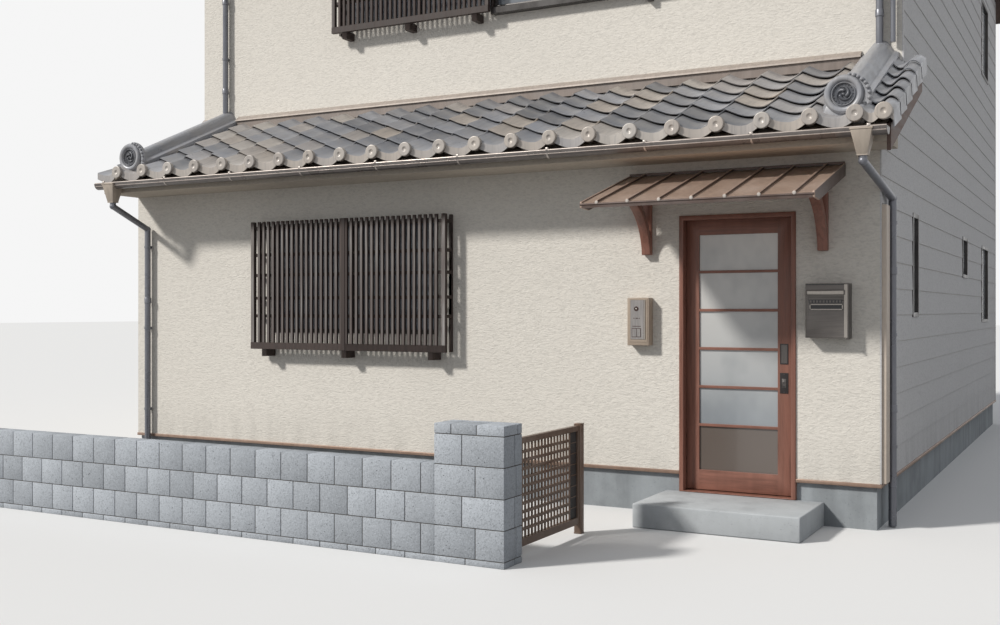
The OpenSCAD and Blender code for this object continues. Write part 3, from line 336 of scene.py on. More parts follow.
finishes = {
    "stucco": stucco(),
    "siding": stucco("siding", tint=(0.88, 0.91, 0.99), depth=0.5),
    # Underside of the pent's eave: the front stucco tinted darker and browner, as painted shade under the
    # eave
    "soffitPaintedShade": stucco("soffitPaintedShade", tint=(0.72, 0.67, 0.62), depth=0.2, grime=0.0),
    "foundation": concrete("foundationConcrete", (0.34, 0.365, 0.385), streak=0.6),
    "step": concrete("stepConcrete", (0.49, 0.515, 0.535), pores=0.3, streak=0.2),
    "block": blockwork("blockConcrete", (0.44, 0.47, 0.51)),
    "mortar": concrete("mortar", (0.13, 0.12, 0.11)),
    "tile": smokedTile("smokedTile", (0.285, 0.293, 0.318)),
    "tileDark": smokedTile("smokedTileDark", (0.085, 0.09, 0.105)),
    "apron": sheetMetal("apronMetal", (0.215, 0.178, 0.157), gloss=0.5, dust=0.4),
    # Lighter copy of the apron metal: a painted highlight on the upward faces
    "apronTopHighlight": sheetMetal("apronTopMetal", (0.43, 0.372, 0.33), gloss=0.42, dust=0.3),
    "gutter": sheetMetal("gutterMetal", (0.15, 0.132, 0.125), gloss=0.3),
    # Lighter metal on the gutters' rolled beads: a painted highlight on the dark gutter metal
    "rim": sheetMetal("rimHighlightMetal", (0.46, 0.4, 0.36), gloss=0.3, dust=0.2),
    "strap": sheetMetal("strapMetal", (0.52, 0.47, 0.43), gloss=0.35, metallic=0.5),
    "funnel": sheetMetal("funnelMetal", (0.42, 0.36, 0.3), gloss=0.5),
    "pipe": sheetMetal("pipeMetal", (0.17, 0.175, 0.2), gloss=0.3),
    "canopy": sheetMetal("canopyMetal", (0.43, 0.312, 0.245), gloss=0.42),
    # Near-black canopy metal: the real nosing, and painted shade on the gable ends, the seams' sides and the
    # strip at the wall
    "canopyEdge": sheetMetal("canopyEdge", (0.085, 0.055, 0.045), gloss=0.4),
    "redTimber": redTimber("redTimber"),
    "leafTimber": redTimber("leafTimber", ("X", lowOf("door_panes").x, highOf("door_panes").x)),
    "frameTimber": redTimber("frameTimber", ("Z", highOf("inner_jamb").z, highOf("door_frame").z)),
    "darkTimber": timber("darkTimber", (0.042, 0.028, 0.024), gloss=0.5, contrast=0.45),
    "eaves": timber("eavesBoards", (0.13, 0.085, 0.07), along=1, gloss=0.6),
    "drip": sheetMetal("dripMetal", (0.3, 0.2, 0.15), gloss=0.4),
    "sash": sheetMetal("sashMetal", (0.045, 0.04, 0.038), gloss=0.35),
    # Door glass: the opal's own pale tone at the top, and towards the foot a darker blue-grey that is a
    # painted reflection of the sky
    "opal": opalGlass("doorGlass", (0.74, 0.72, 0.68), (0.3, 0.33, 0.36), 0.7, 2.3,
                      smoked={"edge": 0.722, "colour": (0.14, 0.115, 0.1)}),
    "windowGlass": opalGlass("windowGlass", (0.2, 0.22, 0.25), (0.14, 0.16, 0.19), 1.2, 6.0, gloss=0.2),
    "plastic": moulded("beigePlastic", (0.38, 0.305, 0.24)),
    "cover": moulded("coverPlastic", (0.62, 0.53, 0.45)),
    "plate": brushedSteel("plateSteel", (0.32, 0.3, 0.29), along=2),
    "box": brushedSteel("boxSteel", (0.12, 0.11, 0.104), along=0),
    # Lighter steel: trim on the intercom, and on the mailbox a painted highlight on the bar, the side strip
    # and the flap's frame
    "boxTrim": brushedSteel("trimSteelAndHighlight", (0.36, 0.33, 0.3), along=2),
    "black": moulded("blackPart", (0.016, 0.016, 0.018), gloss=0.35),
    "lens": moulded("lensPart", (0.07, 0.035, 0.03), gloss=0.12),
    "lockPlate": sheetMetal("lockMetal", (0.035, 0.03, 0.03), gloss=0.3, metallic=0.6, dust=0.1),
    "lockInset": sheetMetal("lockInset", (0.11, 0.1, 0.095), gloss=0.3, metallic=0.7, dust=0.1),
    "bronze": sheetMetal("bronzeMetal", (0.16, 0.105, 0.075), gloss=0.38),
    # Near-black copy of the bronze: painted shade on the strip by the fence post
    "darkBronze": sheetMetal("darkBronze", (0.03, 0.028, 0.028), gloss=0.5, dust=0.1),
    "boards": floorBoards("floorBoards", (0.42, 0.28, 0.17)),
}
print("finishes made:", len(finishes))


# Mesh helpers
def boxInto(bm, low, high):
    low, high = Vector(low), Vector(high)
    matrix = Matrix.Translation((low + high) / 2) @ Matrix.Diagonal((*(high - low), 1))
    bmesh.ops.create_cube(bm, size=1, matrix=matrix)


def turnTo(axis):
    return Vector(axis).to_track_quat("Z", "Y").to_matrix().to_4x4()


def ballInto(bm, centre, radius, squash=(1, 1, 1), segments=12):
    matrix = Matrix.Translation(Vector(centre)) @ Matrix.Diagonal((*squash, 1))
    bmesh.ops.create_uvsphere(bm, u_segments=segments, v_segments=segments // 2, radius=radius,
                              matrix=matrix)


def meshOf(bm, name):
    mesh = bpy.data.meshes.new(name)
    bm.to_mesh(mesh)
    bm.free()
    return mesh


def joinInto(bm, part):
    mesh = meshOf(part, "part")
    bm.from_mesh(mesh)
    bpy.data.meshes.remove(mesh)


# Profile of (radius, height) pairs, turned about an axis
def turnedInto(bm, profile, centre, axis, steps=32):
    part = bmesh.new()
    verts = [part.verts.new((radius, 0, height)) for radius, height in profile]
    edges = [part.edges.new(pair) for pair in zip(verts, verts[1:])]
    bmesh.ops.spin(part, geom=verts + edges, cent=(0, 0, 0), axis=(0, 0, 1), dvec=(0, 0, 0),
                   angle=2 * math.pi, steps=steps, use_merge=True, use_duplicate=False)
    bmesh.ops.remove_doubles(part, verts=part.verts[:], dist=0.00002)
    bmesh.ops.recalc_face_normals(part, faces=part.faces[:])
    part.transform(Matrix.Translation(Vector(centre)) @ turnTo(axis))
    joinInto(bm, part)


# Round bar through points, with a radius at each
def barInto(bm, points, radii, segments=8):
    rings = []
    for i, point in enumerate(points):
        ahead = Vector(points[min(i + 1, len(points) - 1)]) - Vector(points[max(i - 1, 0)])
        ring = bmesh.ops.create_circle(bm, segments=segments, radius=radii[i],
                                       matrix=Matrix.Translation(Vector(point)) @ turnTo(ahead))["verts"]
        rings.append(list({edge for vert in ring for edge in vert.link_edges}))
    for first, second in zip(rings, rings[1:]):
        bmesh.ops.bridge_loops(bm, edges=first + second)
    for ring in (rings[0], rings[-1]):
        bmesh.ops.edgeloop_fill(bm, edges=ring)


# Round bar of one thickness along X
def rodInto(bm, xs, y, z, radius, segments):
    barInto(bm, [(x, y, z) for x in xs], [radius] * 2, segments)


# Flat band bent about a line along X, from a start before (-1) or behind (1) it, as the axis turns
def hoopInto(bm, centre, radii, width, start, axis, angle, steps):
    x, y, z = centre
    hoop = bmesh.new()
    points = [hoop.verts.new((x - width / 2, y + start * radius, z)) for radius in radii]
    points += [hoop.verts.new((x + width / 2, v.co.y, v.co.z)) for v in reversed(points)]
    bmesh.ops.spin(hoop, geom=[hoop.faces.new(points)], cent=centre, axis=(axis, 0, 0), dvec=(0, 0, 0),
                   angle=angle, steps=steps, use_merge=False, use_duplicate=False)
    joinInto(bm, hoop)


def softEdges(bm, width, segments=1, sharper=30, edges=None):
    limit = math.radians(sharper)
    picked = [e for e in (edges or bm.edges) if len(e.link_faces) == 2 and e.calc_face_angle(0) > limit]
    bmesh.ops.bevel(bm, geom=picked, offset=width, offset_type="OFFSET", segments=segments,
                    profile=0.5, affect="EDGES", material=-1, clamp_overlap=False)


def softBoxInto(bm, low, high, width, segments=1):
    part = bmesh.new()
    boxInto(part, low, high)
    softEdges(part, width, segments)
    joinInto(bm, part)


# Faces drawn out along a vector to a closed solid
def facesOut(bm, faces, vector):
    grown = bmesh.ops.extrude_face_region(bm, geom=faces)["geom"]
    bmesh.ops.translate(bm, verts=[v for v in grown if isinstance(v, bmesh.types.BMVert)], vec=vector)


def outlineOut(bm, points, vector):
    facesOut(bm, [bm.faces.new([bm.verts.new(point) for point in points])], vector)


# Everything on the outer side of a plane is cut off and the cut closed
def cutAway(bm, point, outward):
    bmesh.ops.bisect_plane(bm, geom=bm.verts[:] + bm.edges[:] + bm.faces[:], dist=0.00001,
                           plane_co=point, plane_no=outward, clear_outer=True)
    bmesh.ops.holes_fill(bm, edges=[e for e in bm.edges if e.is_boundary], sides=0)


def made(bm, name, material, body="house", replaces=(), smooth=35, outward=True):
    if outward:
        bmesh.ops.recalc_face_normals(bm, faces=bm.faces[:])
    mesh = meshOf(bm, name)
    for paint in material if isinstance(material, tuple) else (material,):
        mesh.materials.append(finishes[paint])
    if smooth:
        mesh.shade_smooth()
        mesh.set_sharp_from_angle(angle=math.radians(smooth))
    piece = bpy.data.objects.new(name, mesh)
    bpy.context.scene.collection.objects.link(piece)
    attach(piece, body)
    if replaces:
        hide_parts(*replaces)
    return piece


# A node's mesh, merged and with its flat faces joined, as the start of a finer piece
def mergedNode(name):
    bm = bmesh.new()
    bm.from_mesh(nodes[name].data)
    bmesh.ops.remove_doubles(bm, verts=bm.verts[:], dist=0.00005)
    bmesh.ops.dissolve_limit(bm, angle_limit=math.radians(0.8), verts=bm.verts[:], edges=bm.edges[:])
    return bm


def eased(node, name, width, material, body="house", segments=2):
    bm = mergedNode(node)
    softEdges(bm, width, segments)
    return made(bm, name, material, body, (node,))


# Boxes of a node's separate solids, as pairs of corners
def solidBoxes(name):
    bm = mergedNode(name)
    left, boxes = set(bm.verts), []
    while left:
        group, queue = [], [left.pop()]
        while queue:
            vert = queue.pop()
            group.append(vert.co)
            for edge in vert.link_edges:
                other = edge.other_vert(vert)
                if other in left:
                    left.discard(other)
                    queue.append(other)
        boxes.append((Vector(min(c[i] for c in group) for i in range(3)),
                      Vector(max(c[i] for c in group) for i in range(3))))
    bm.free()
    return sorted(boxes, key=lambda box: tuple(round(part, 3) for part in box[0]))


# The tone that a material reads, the same on a whole mesh
def setTone(bm, layerName, tone):
    layer = bm.verts.layers.float.new(layerName)
    for vert in bm.verts:
        vert[layer] = tone


# Roof tiles
tileWork = {
    "pitch": 0.3462,      # from crest to crest
    "crestX": 3.747,      # the crest beside the right verge
    "sag": 0.07,          # crest over trough
    "lowShare": 0.58,     # where the trough lies, from one crest to the next
    "fallPower": 1.1,
    "fallCuts": 8,
    "riseCuts": 6,
    "lift": 0.043,        # trough over the boards
    "thick": 0.009,
    "step": 0.026,        # from one course down to the next
    "chamfer": 0.003,
    "course": 0.275,
    "lap": 0.03,
    "bandDrop": 0.06,     # height of the hanging edge at the eave
    "bandGrow": 0.016,
    "bandThick": 0.016,
    "bandOut": 0.001,     # before the front edge of the tiles
    "capR": 0.062,
    "capThick": 0.04,
    "capOut": 0.014,      # cap before the band
    "capOutEnd": 0.016,   # the two caps at the verge
    "lastShift": -0.018,  # the cap before the verge stands nearer to the ridge
    "capShift": 0.012,    # from the crest to the middle of its cap
    "capRise": 0.022,
    "capLean": 0.04,
    "pentRaise": 0.012,   # the pent's eave, with a flatter slope so that the head stays where it is
    "pentTilt": -0.007,
    "sleeveDrop": 0.05,   # below the boards
    "sleeveHem": 0.03,    # eased edge at the sleeve's head
    "vergeGap": 0.003,    # from the sleeve to the node's side
    "vergeCuts": 14,
    "vergeDip": 0.36,     # where the verge tile is lowest, and how high it is there
    "dipShare": 0.25,
    "vergeCrest": 0.74,
    "vergeFall": 0.55,    # from its own crest to the sleeve
    "wobble": 0.0012,
    "twist": 0.005,
    "vergeTone": (0.1, 0.6),
    "bandTone": (0.66, 0.96),
    "vergeBandTone": 0.8,
    "capTone": (0.76, 1.0),
    "seed": 7,
}
vergeWidth = vergeX - tileWork["crestX"] - tileWork["vergeGap"]
vergeShares = [i / tileWork["vergeCuts"] for i in range(tileWork["vergeCuts"] + 1)]


def waveHeight(u):
    low = tileWork["lowShare"]
    if u < low:
        fall = math.sin(math.pi / 2 * u / low) ** tileWork["fallPower"]
    else:
        fall = math.cos(math.pi / 2 * (u - low) / (1 - low))
    return tileWork["sag"] * (1 - fall)


def waveShares():
    fall, rise, low = tileWork["fallCuts"], tileWork["riseCuts"], tileWork["lowShare"]
    return [low * i / fall for i in range(fall)] + [low + (1 - low) * i / rise for i in range(rise + 1)]


# Sheet through rows of points, given its thickness downwards
def sheetMesh(rows, thickness):
    bm = bmesh.new()
    lines = [[bm.verts.new(point) for point in row] for row in rows]
    strands = [[bm.edges.new(pair) for pair in zip(line, line[1:])] for line in lines]
    for first, second in zip(strands, strands[1:]):
        bmesh.ops.bridge_loops(bm, edges=first + second)
    bmesh.ops.recalc_face_normals(bm, faces=bm.faces[:])
    if sum(face.normal.z for face in bm.faces) < 0:
        bmesh.ops.reverse_faces(bm, faces=bm.faces[:])
    bmesh.ops.solidify(bm, geom=bm.faces[:], thickness=thickness)
    return meshOf(bm, "sheet")


# The three cuts of a tile along the slope: its eased front edge, and its covered head
def tileRows(length, pointAt):
    work = tileWork
    full = length + work["lap"]
    return [pointAt(v, work["lift"] + work["step"] * (1 - v / length) - drop)
            for v, drop in ((0.0, work["chamfer"]), (work["chamfer"] * 1.5, 0.0), (full, 0.0))]


def waveTileMesh(length):
    def rowAt(v, rise):
        return [(u * tileWork["pitch"], v, waveHeight(u) + rise) for u in waveShares()]
    return sheetMesh(tileRows(length, rowAt), tileWork["thick"])


# Height of the verge tile's arch: down from the last crest, up over the verge's own roll
def vergeHeight(u):
    work = tileWork
    sag, dip, low, crest = work["sag"], work["vergeDip"], work["dipShare"], work["vergeCrest"]
    if u < dip:
        return sag * (low + (1 - low) * (0.5 + 0.5 * math.cos(math.pi * u / dip)))
    if u < crest:
        return sag * (low + (1 - low) * (0.5 - 0.5 * math.cos(math.pi * (u - dip) / (crest - dip))))
    return sag * (1 - work["vergeFall"] * ((u - crest) / (1 - crest)) ** 2)


def vergeTileMesh(length):
    def rowAt(v, rise):
        arch = [(u * vergeWidth, v, vergeHeight(u) + rise) for u in vergeShares]
        foot = rise - tileWork["lift"] - tileWork["sleeveDrop"]
        return arch + [(vergeWidth, v, arch[-1][2] - tileWork["sleeveHem"]), (vergeWidth, v, foot)]
    return sheetMesh(tileRows(length, rowAt), tileWork["thick"])


# Left edges of the columns of tiles, from the right verge on
def columnEdges():
    count = math.ceil((tileWork["crestX"] - partyX) / tileWork["pitch"])
    return [tileWork["crestX"] - (i + 1) * tileWork["pitch"] for i in range(count)]


def stamp(bm, mesh, matrix, tone, layer):
    first = len(bm.verts)
    mesh.transform(matrix)
    bm.from_mesh(mesh)
    mesh.transform(matrix.inverted())
    bm.verts.ensure_lookup_table()
    for vert in bm.verts[first:]:
        vert[layer] = tone


# One slope of tiles from the eave up, with its verge tiles
def tileSlope(bm, layer, eaveY, eaveZ, topY, tilt, draw):
    work = tileWork
    run = (topY - eaveY) / math.cos(slopeAngle)
    courses = round(run / work["course"])
    length = run / courses
    tile, verge = waveTileMesh(length), vergeTileMesh(length)
    toRoof = Matrix.Translation((0, eaveY, eaveZ)) @ Matrix.Rotation(slopeAngle + tilt, 4, "X")
    for course in range(courses):
        for x in columnEdges():
            nudge = Matrix.Translation((x, course * length, draw.uniform(-1, 1) * work["wobble"]))
            twist = Matrix.Rotation(draw.uniform(-1, 1) * work["twist"], 4, "Y")
            stamp(bm, tile, toRoof @ nudge @ twist, draw.random(), layer)
        place = toRoof @ Matrix.Translation((work["crestX"], course * length, 0))
        stamp(bm, verge, place, draw.uniform(*work["vergeTone"]), layer)


# Hanging strip between an upper and a lower line, both along X
def bandMesh(upper, lower, thickness):
    bm = bmesh.new()
    lines = [[bm.verts.new(point) for point in line] for line in (upper, lower)]
    edges = [bm.edges.new(pair) for line in lines for pair in zip(line, line[1:])]
    bmesh.ops.bridge_loops(bm, edges=edges)
    facesOut(bm, bm.faces[:], (0, thickness, 0))
    return meshOf(bm, "band")


# Flat round cap with a small hollow in its middle
def capMesh():
    bm = bmesh.new()
    r, t = tileWork["capR"], tileWork["capThick"]
    rim = [(0, -t), (r - 0.004, -t), (r, -t + 0.006), (r, -0.006), (r - 0.0015, -0.002), (r - 0.005, 0),
           (r - 0.009, 0)]
    hollow = [(r * 0.42, 0), (r * 0.36, 0), (r * 0.3, -0.003), (r * 0.2, -0.008), (0, -0.009)]
    turnedInto(bm, rim + hollow, (0, 0, 0), (0, -1, 0), steps=20)
    return meshOf(bm, "cap")


# The eave's hanging edge: a band that follows the waves, with a flat cap at each crest
def eaveBand(bm, layer, eaveY, eaveZ, draw):
    work = tileWork
    up = Vector((0, -math.sin(slopeAngle), math.cos(slopeAngle)))
    edge = work["lift"] + work["step"] - work["chamfer"]

    def lineAt(height, x, drop):
        return Vector((x, eaveY - work["bandOut"], eaveZ - drop)) + up * (height + edge)

    def band(width, heightAt, shares):
        drops = [work["bandDrop"] + work["bandGrow"] * u for u in shares]
        upper = [lineAt(heightAt(u), u * width, 0) for u in shares]
        lower = [lineAt(heightAt(u), u * width, drop) for u, drop in zip(shares, drops)]
        return bandMesh(upper, lower, work["bandThick"])

    wave = band(work["pitch"], waveHeight, waveShares())
    verge = band(vergeWidth, vergeHeight, vergeShares)
    cap = capMesh()
    crest = lineAt(work["sag"], 0, 0)
    capZ = crest.z - work["capR"] + work["capRise"]
    for x in columnEdges():
        if x > partyX + work["capR"]:
            place = Matrix.Translation((x + work["capShift"], crest.y - work["capOut"], capZ))
            lean = Matrix.Rotation(draw.uniform(-work["capLean"], work["capLean"]), 4, "X")
            stamp(bm, cap, place @ lean, draw.uniform(*work["capTone"]), layer)
        stamp(bm, wave, Matrix.Translation((x, 0, 0)), draw.uniform(*work["bandTone"]), layer)
    stamp(bm, verge, Matrix.Translation((work["crestX"], 0, 0)), work["vergeBandTone"], layer)
    for x in (work["crestX"] + work["lastShift"], work["crestX"] + work["vergeCrest"] * vergeWidth):
        place = Matrix.Translation((x, crest.y - work["capOutEnd"], capZ))
        stamp(bm, cap, place, draw.uniform(*work["capTone"]), layer)


def roofTiles(name, node, eaveZ, topY, sides, tilt=0.0):
    draw = random.Random(tileWork["seed"])
    bm = bmesh.new()
    bm.verts.layers.float.new("tileTone")
    eaveY = lowOf(node).y
    for side in sides:
        part = bmesh.new()
        tones = part.verts.layers.float.new("tileTone")
        tileSlope(part, tones, eaveY, eaveZ, topY, tilt, draw)
        eaveBand(part, tones, eaveY, eaveZ, draw)
        if side < 0:
            toRidge = Matrix.Translation((0, -topY, 0))
            bmesh.ops.scale(part, vec=(1, -1, 1), verts=part.verts[:], space=toRidge)
            bmesh.ops.reverse_faces(part, faces=part.faces[:])
        joinInto(bm, part)
    cutAway(bm, (partyX, 0, 0), (-1, 0, 0))
    made(bm, name, "tile", replaces=(node,), smooth=40)


pentEaveZ = pentBoards(lowOf("pent_tiles").y) + tileWork["pentRaise"]
roofTiles("pentRoofTiles", "pent_tiles", pentEaveZ, upperY, (1,), tileWork["pentTilt"])
roofTiles("mainRoofTiles", "main_tiles", mainBoards(lowOf("main_tiles").y), ridgeY, (1, -1))
print("roof tiles laid")


# Ridges that run down the pent roof, with ringed end tiles
ridgeWork = {
    "discR": 0.142,
    "roundR": 0.094,
    "baseHalf": 0.15,
    "layer": 0.08,
    "base": ((-0.012, -0.07), (-0.012, 0.024), (0, 0.026), (0.001, 0.035), (-0.008, 0.038), (-0.008, 0.042),
             (-0.002, 0.045), (-0.002, 0.07), (-0.01, 0.076)),   # out from half the base, and height
    "neck": ((0.011, 0.006), (0.003, 0.014)),   # out from the round tile, and height over the base
    "start": 0.44,        # from the lower front out to the ridge's foot
    "tileTop": 0.075,
    "headLap": 0.1,       # runs on into the upper wall and is cut off there
    "skirt": ((0.156, -0.03), (0.138, 0.05), (0.114, 0.1)),   # half its width, and height
    "discLift": 0.15,
    "cuts": 26,
    "tone": 0.45,
}
endTileWork = {
    "rim": ((0.01, -0.02), (0, -0.008), (0, 0.022), (0.005, 0.036), (0.015, 0.045), (0.027, 0.047),
            (0.039, 0.044), (0.047, 0.036), (0.05, 0.024), (0.055, 0.024), (0.057, 0.038), (0.0605, 0.042),
            (0.064, 0.038), (0.065, 0.022)),    # in from the edge, and height
    "ground": (0.066, 0.0225, 0.026),           # in from the edge, and its two heights
    "middleR": 0.012,
    "swirls": 3,
    "swirlTurn": 150,
    "swirlReach": (0.026, 0.034),               # from the middle, and grown by
    "swirlR": (0.002, 0.0135),                  # at the tail, and grown by towards the head
    "headR": 0.0145,
    "dots": 18,
    "dotR": 0.005,
    "dotReach": 0.069,
    "chain": ((74, 0.143), (-24, 0.19)),        # angle and radius at the two ends of the row of beads
    "fin": (0.016, -0.03),                      # its outer and inner edge from the row
    "beads": 9,
    "beadR": 0.0165,
    "tone": 0.4,
}


def ridgeProfile():
    work = ridgeWork
    half, r, top = work["baseHalf"], work["roundR"], work["layer"]
    side = [(half + out, z) for out, z in work["base"]] + [(r + out, top + z) for out, z in work["neck"]]
    arch = [(r * math.cos(math.pi * i / work["cuts"]), top + r * math.sin(math.pi * i / work["cuts"]))
            for i in range(2, work["cuts"] - 1)]
    return side + arch + [(-x, z) for x, z in reversed(side)]


def endTileInto(bm, dark, centre):
    work = endTileWork
    r = ridgeWork["discR"]
    x, y, z = centre
    rim = [(r - inset, rise) for inset, rise in work["rim"]]
    turnedInto(bm, [(0, rim[0][1]), *rim, (0, rim[-1][1])], centre, (0, -1, 0), steps=40)
    inset, back, top = work["ground"]
    front = y - top

    # Point at an angle in degrees and a reach from the middle
    def around(angle, reach, pointY):
        turn = math.radians(angle)
        return x + reach * math.cos(turn), pointY, z + reach * math.sin(turn)

    ballInto(dark, (x, front - 0.004, z), work["middleR"], squash=(1, 0.6, 1))
    shares = [i / 8 for i in range(9)]
    (reach, spread), (tail, swell) = work["swirlReach"], work["swirlR"]
    for i in range(work["swirls"]):
        points = [around(90 + 360 * i / work["swirls"] + work["swirlTurn"] * share, reach + spread * share,
                         front - 0.003) for share in shares]
        barInto(dark, points, [swell * (1 - share) + tail for share in shares])
        ballInto(dark, points[0], work["headR"], segments=10)
    for i in range(work["dots"]):
        place = around(360 * i / work["dots"], work["dotReach"], front - 0.001)
        ballInto(dark, place, work["dotR"], segments=8)
    turnedInto(dark, [(0, back), (r - inset, back), (r - inset, top), (0, top)], centre, (0, -1, 0))

    def chainAt(share, out, pointY):
        (startTurn, startR), (endTurn, endR) = work["chain"]
        angle = startTurn + (endTurn - startTurn) * share
        return around(angle, startR + (endR - startR) * share + out, pointY)

    fin = bmesh.new()
    edges = [[chainAt(i / 12, out, y - 0.022) for i in range(13)] for out in work["fin"]]
    outlineOut(fin, edges[0] + edges[1][::-1], (0, 0.03, 0))
    softEdges(fin, 0.003, sharper=50)
    joinInto(bm, fin)
    for i in range(work["beads"]):
        place = chainAt(i / (work["beads"] - 1), 0.0, y - 0.029)
        ballInto(bm, place, work["beadR"] * (1 if i % 2 else 0.8), segments=10)


def pentRidges():
    work = ridgeWork
    bm, dark = bmesh.new(), bmesh.new()
    y0 = frontY - work["start"]
    z0 = pentBoards(y0) + work["tileTop"]
    run = (upperY - y0) / math.cos(slopeAngle) + work["headLap"]
    low, high = lowOf("pent_ridges"), highOf("pent_ridges")
    for x in (low.x + work["discR"], high.x - work["discR"]):
        part = bmesh.new()
        outlineOut(part, [(px, 0, pz) for px, pz in ridgeProfile()], (0, run, 0))
        part.transform(Matrix.Translation((x, y0, z0)) @ Matrix.Rotation(slopeAngle, 4, "X"))
        cutAway(part, (0, upperY - 0.001, 0), (0, 1, 0))
        cutAway(part, (0, y0 + 0.004, 0), (0, -1, 0))
        joinInto(bm, part)
        skirt = bmesh.new()
        rightSide = [(x + half, y0 - 0.006, z0 + rise) for half, rise in work["skirt"]]
        leftSide = [(2 * x - px, py, pz) for px, py, pz in rightSide]
        outlineOut(skirt, [leftSide[0], *rightSide, leftSide[2], leftSide[1]], (0, 0.05, 0))
        softEdges(skirt, 0.006, 2)
        joinInto(bm, skirt)
        endTileInto(bm, dark, (x, y0 + 0.008, z0 + work["discLift"]))
    setTone(bm, "tileTone", work["tone"])
    setTone(dark, "tileTone", endTileWork["tone"])
    made(bm, "pentRidgeTiles", "tile", replaces=("pent_ridges",), smooth=32)
    made(dark, "ridgeEndOrnament", "tileDark", smooth=50)


pentRidges()


# Main ridge: the node's layers and cap get jointed cap tiles and ringed ends
mainRidgeWork = {
    "radius": 0.118,
    "axisDrop": 0.04,
    "end": 0.055,         # from the node's end to the first cap tile
    "pitch": 0.3,
    "joint": (0.985, 1.07),   # from within the cap tile out over it
    "jointW": 0.036,
    "disc": ((0, -0.01), (0.118, -0.01), (0.118, 0.001), (0.104, 0.003), (0.1, -0.001), (0.088, -0.001),
             (0.084, 0.003), (0.076, 0.003), (0.07, -0.003), (0, -0.003)),
    "tone": 0.4,
}


def mainRidge():
    work = mainRidgeWork
    bm = mergedNode("main_ridge")
    softEdges(bm, 0.004, 2)
    low, high = lowOf("main_ridge"), highOf("main_ridge")
    axisZ = high.z - work["axisDrop"] - work["radius"]
    length = high.x - low.x - 2 * work["end"]
    count = round(length / work["pitch"])
    for i in range(1, count):
        centre = (low.x + work["end"] + i * length / count, ridgeY, axisZ)
        hoopInto(bm, centre, [work["radius"] * share for share in work["joint"]], work["jointW"],
                 1, 1, math.pi, 16)
    for x, side in ((low.x, -1), (high.x, 1)):
        centre = (x - side * 0.004, ridgeY, high.z - ridgeWork["discR"])
        turnedInto(bm, work["disc"], centre, (side, 0, 0))
    setTone(bm, "tileTone", work["tone"])
    made(bm, "mainRidgeTiles", "tile", replaces=("main_ridge",), smooth=32)


mainRidge()
print("ridges set")


# Apron along the upper wall: a sloping cap with a lip in a lighter copy of the metal, a painted highlight,
# and a darker face set back below it
apronWork = {
    "lipDrop": 0.057,     # from the top
    "face": 0.018,        # from the lip's front
    "foot": 0.01,         # from the node's foot
}


def apronPiece():
    work = apronWork
    low, high = lowOf("pent_apron"), highOf("pent_apron")
    wall, lip, front = high.y, low.y, low.y + work["face"]
    lipZ, foot = high.z - work["lipDrop"], low.z + work["foot"]
    outline = ((wall, high.z), (wall - 0.007, high.z), (lip + 0.001, lipZ + 0.014), (lip, lipZ),
               (lip + 0.005, lipZ - 0.004), (front, lipZ + 0.001), (front, foot), (wall, foot))
    bm = bmesh.new()
    for pieceLow, pieceHigh in solidBoxes("pent_apron"):
        outlineOut(bm, [(pieceLow.x, y, z) for y, z in outline], (pieceHigh.x - pieceLow.x, 0, 0))
    bmesh.ops.recalc_face_normals(bm, faces=bm.faces[:])
    # Upward faces and the lip's front take the lighter metal as painted highlight
    for face in bm.faces:
        if face.normal.z > 0.3 or (face.normal.y < -0.5 and face.calc_center_median().z > lipZ):
            face.material_index = 1
    made(bm, "pentApron", ("apron", "apronTopHighlight"), replaces=("pent_apron",), smooth=20,
         outward=False)


apronPiece()


# Gutters: rolled rim with a groove below it, the rolls in a lighter metal as painted highlight, curved straps
# with studs, and pale funnels
gutterWork = {
    "radius": 0.058,
    "pentOut": 0.492,     # from the lower front to the back of the pent gutter
    "endIn": 0.004,
    "rimDrop": 0.004,     # from the node's top to the rim's axis
    "bead": 0.009,
    "second": 0.005,      # the groove's lower roll, and its angle below the rim
    "secondTurn": 0.5,
    "rear": 0.004,
    "strapW": 0.014,
    "strapT": 0.003,
    "strapGap": 0.0005,
    "strapTurn": 158,
    "margin": 0.12,       # from the gutter's end to its first strap
    "pitch": 0.9,
    "funnelTop": 0.0775,
    "funnelFoot": 0.0365,
    "funnelH": 0.19,
    "funnelDrop": 0.007,  # from the node's top to the funnel's
    "funnelsIn": (0.22, 0.018),   # from the party line and from the free corner
}
upperPipes = (partyX + 0.36, sideX - 0.17)


def strapInto(bm, x, y, z, side):
    work = gutterWork
    inner = work["radius"] + work["strapGap"]
    hoopInto(bm, (x, y, z), (inner, inner + work["strapT"]), work["strapW"], -side, side,
             math.radians(work["strapTurn"]), 18)
    studY = y + side * (work["radius"] - 0.01)
    low, high = (x - 0.014, studY - 0.0095, z - 0.012), (x + 0.014, studY + 0.0095, z + 0.024)
    softBoxInto(bm, low, high, 0.0065, 3)


def funnelInto(bm, x, y, z):
    work = gutterWork
    part = bmesh.new()
    body = Matrix.Translation((x, y, z - work["funnelH"] / 2)) @ Matrix.Rotation(math.pi / 4, 4, "Z")
    bmesh.ops.create_cone(part, cap_ends=True, segments=4, radius1=work["funnelFoot"] * math.sqrt(2),
                          radius2=work["funnelTop"] * math.sqrt(2), depth=work["funnelH"], matrix=body)
    softEdges(part, 0.004, 2)
    top, foot = work["funnelTop"] + 0.0015, work["funnelFoot"] + 0.001
    boxInto(part, (x - top, y - top, z - 0.012), (x + top, y - work["radius"] - 0.001, z - 0.002))
    boxInto(part, (x - foot, y - foot, z - work["funnelH"] - 0.003),
            (x + foot, y + foot, z - work["funnelH"] + 0.022))
    joinInto(bm, part)


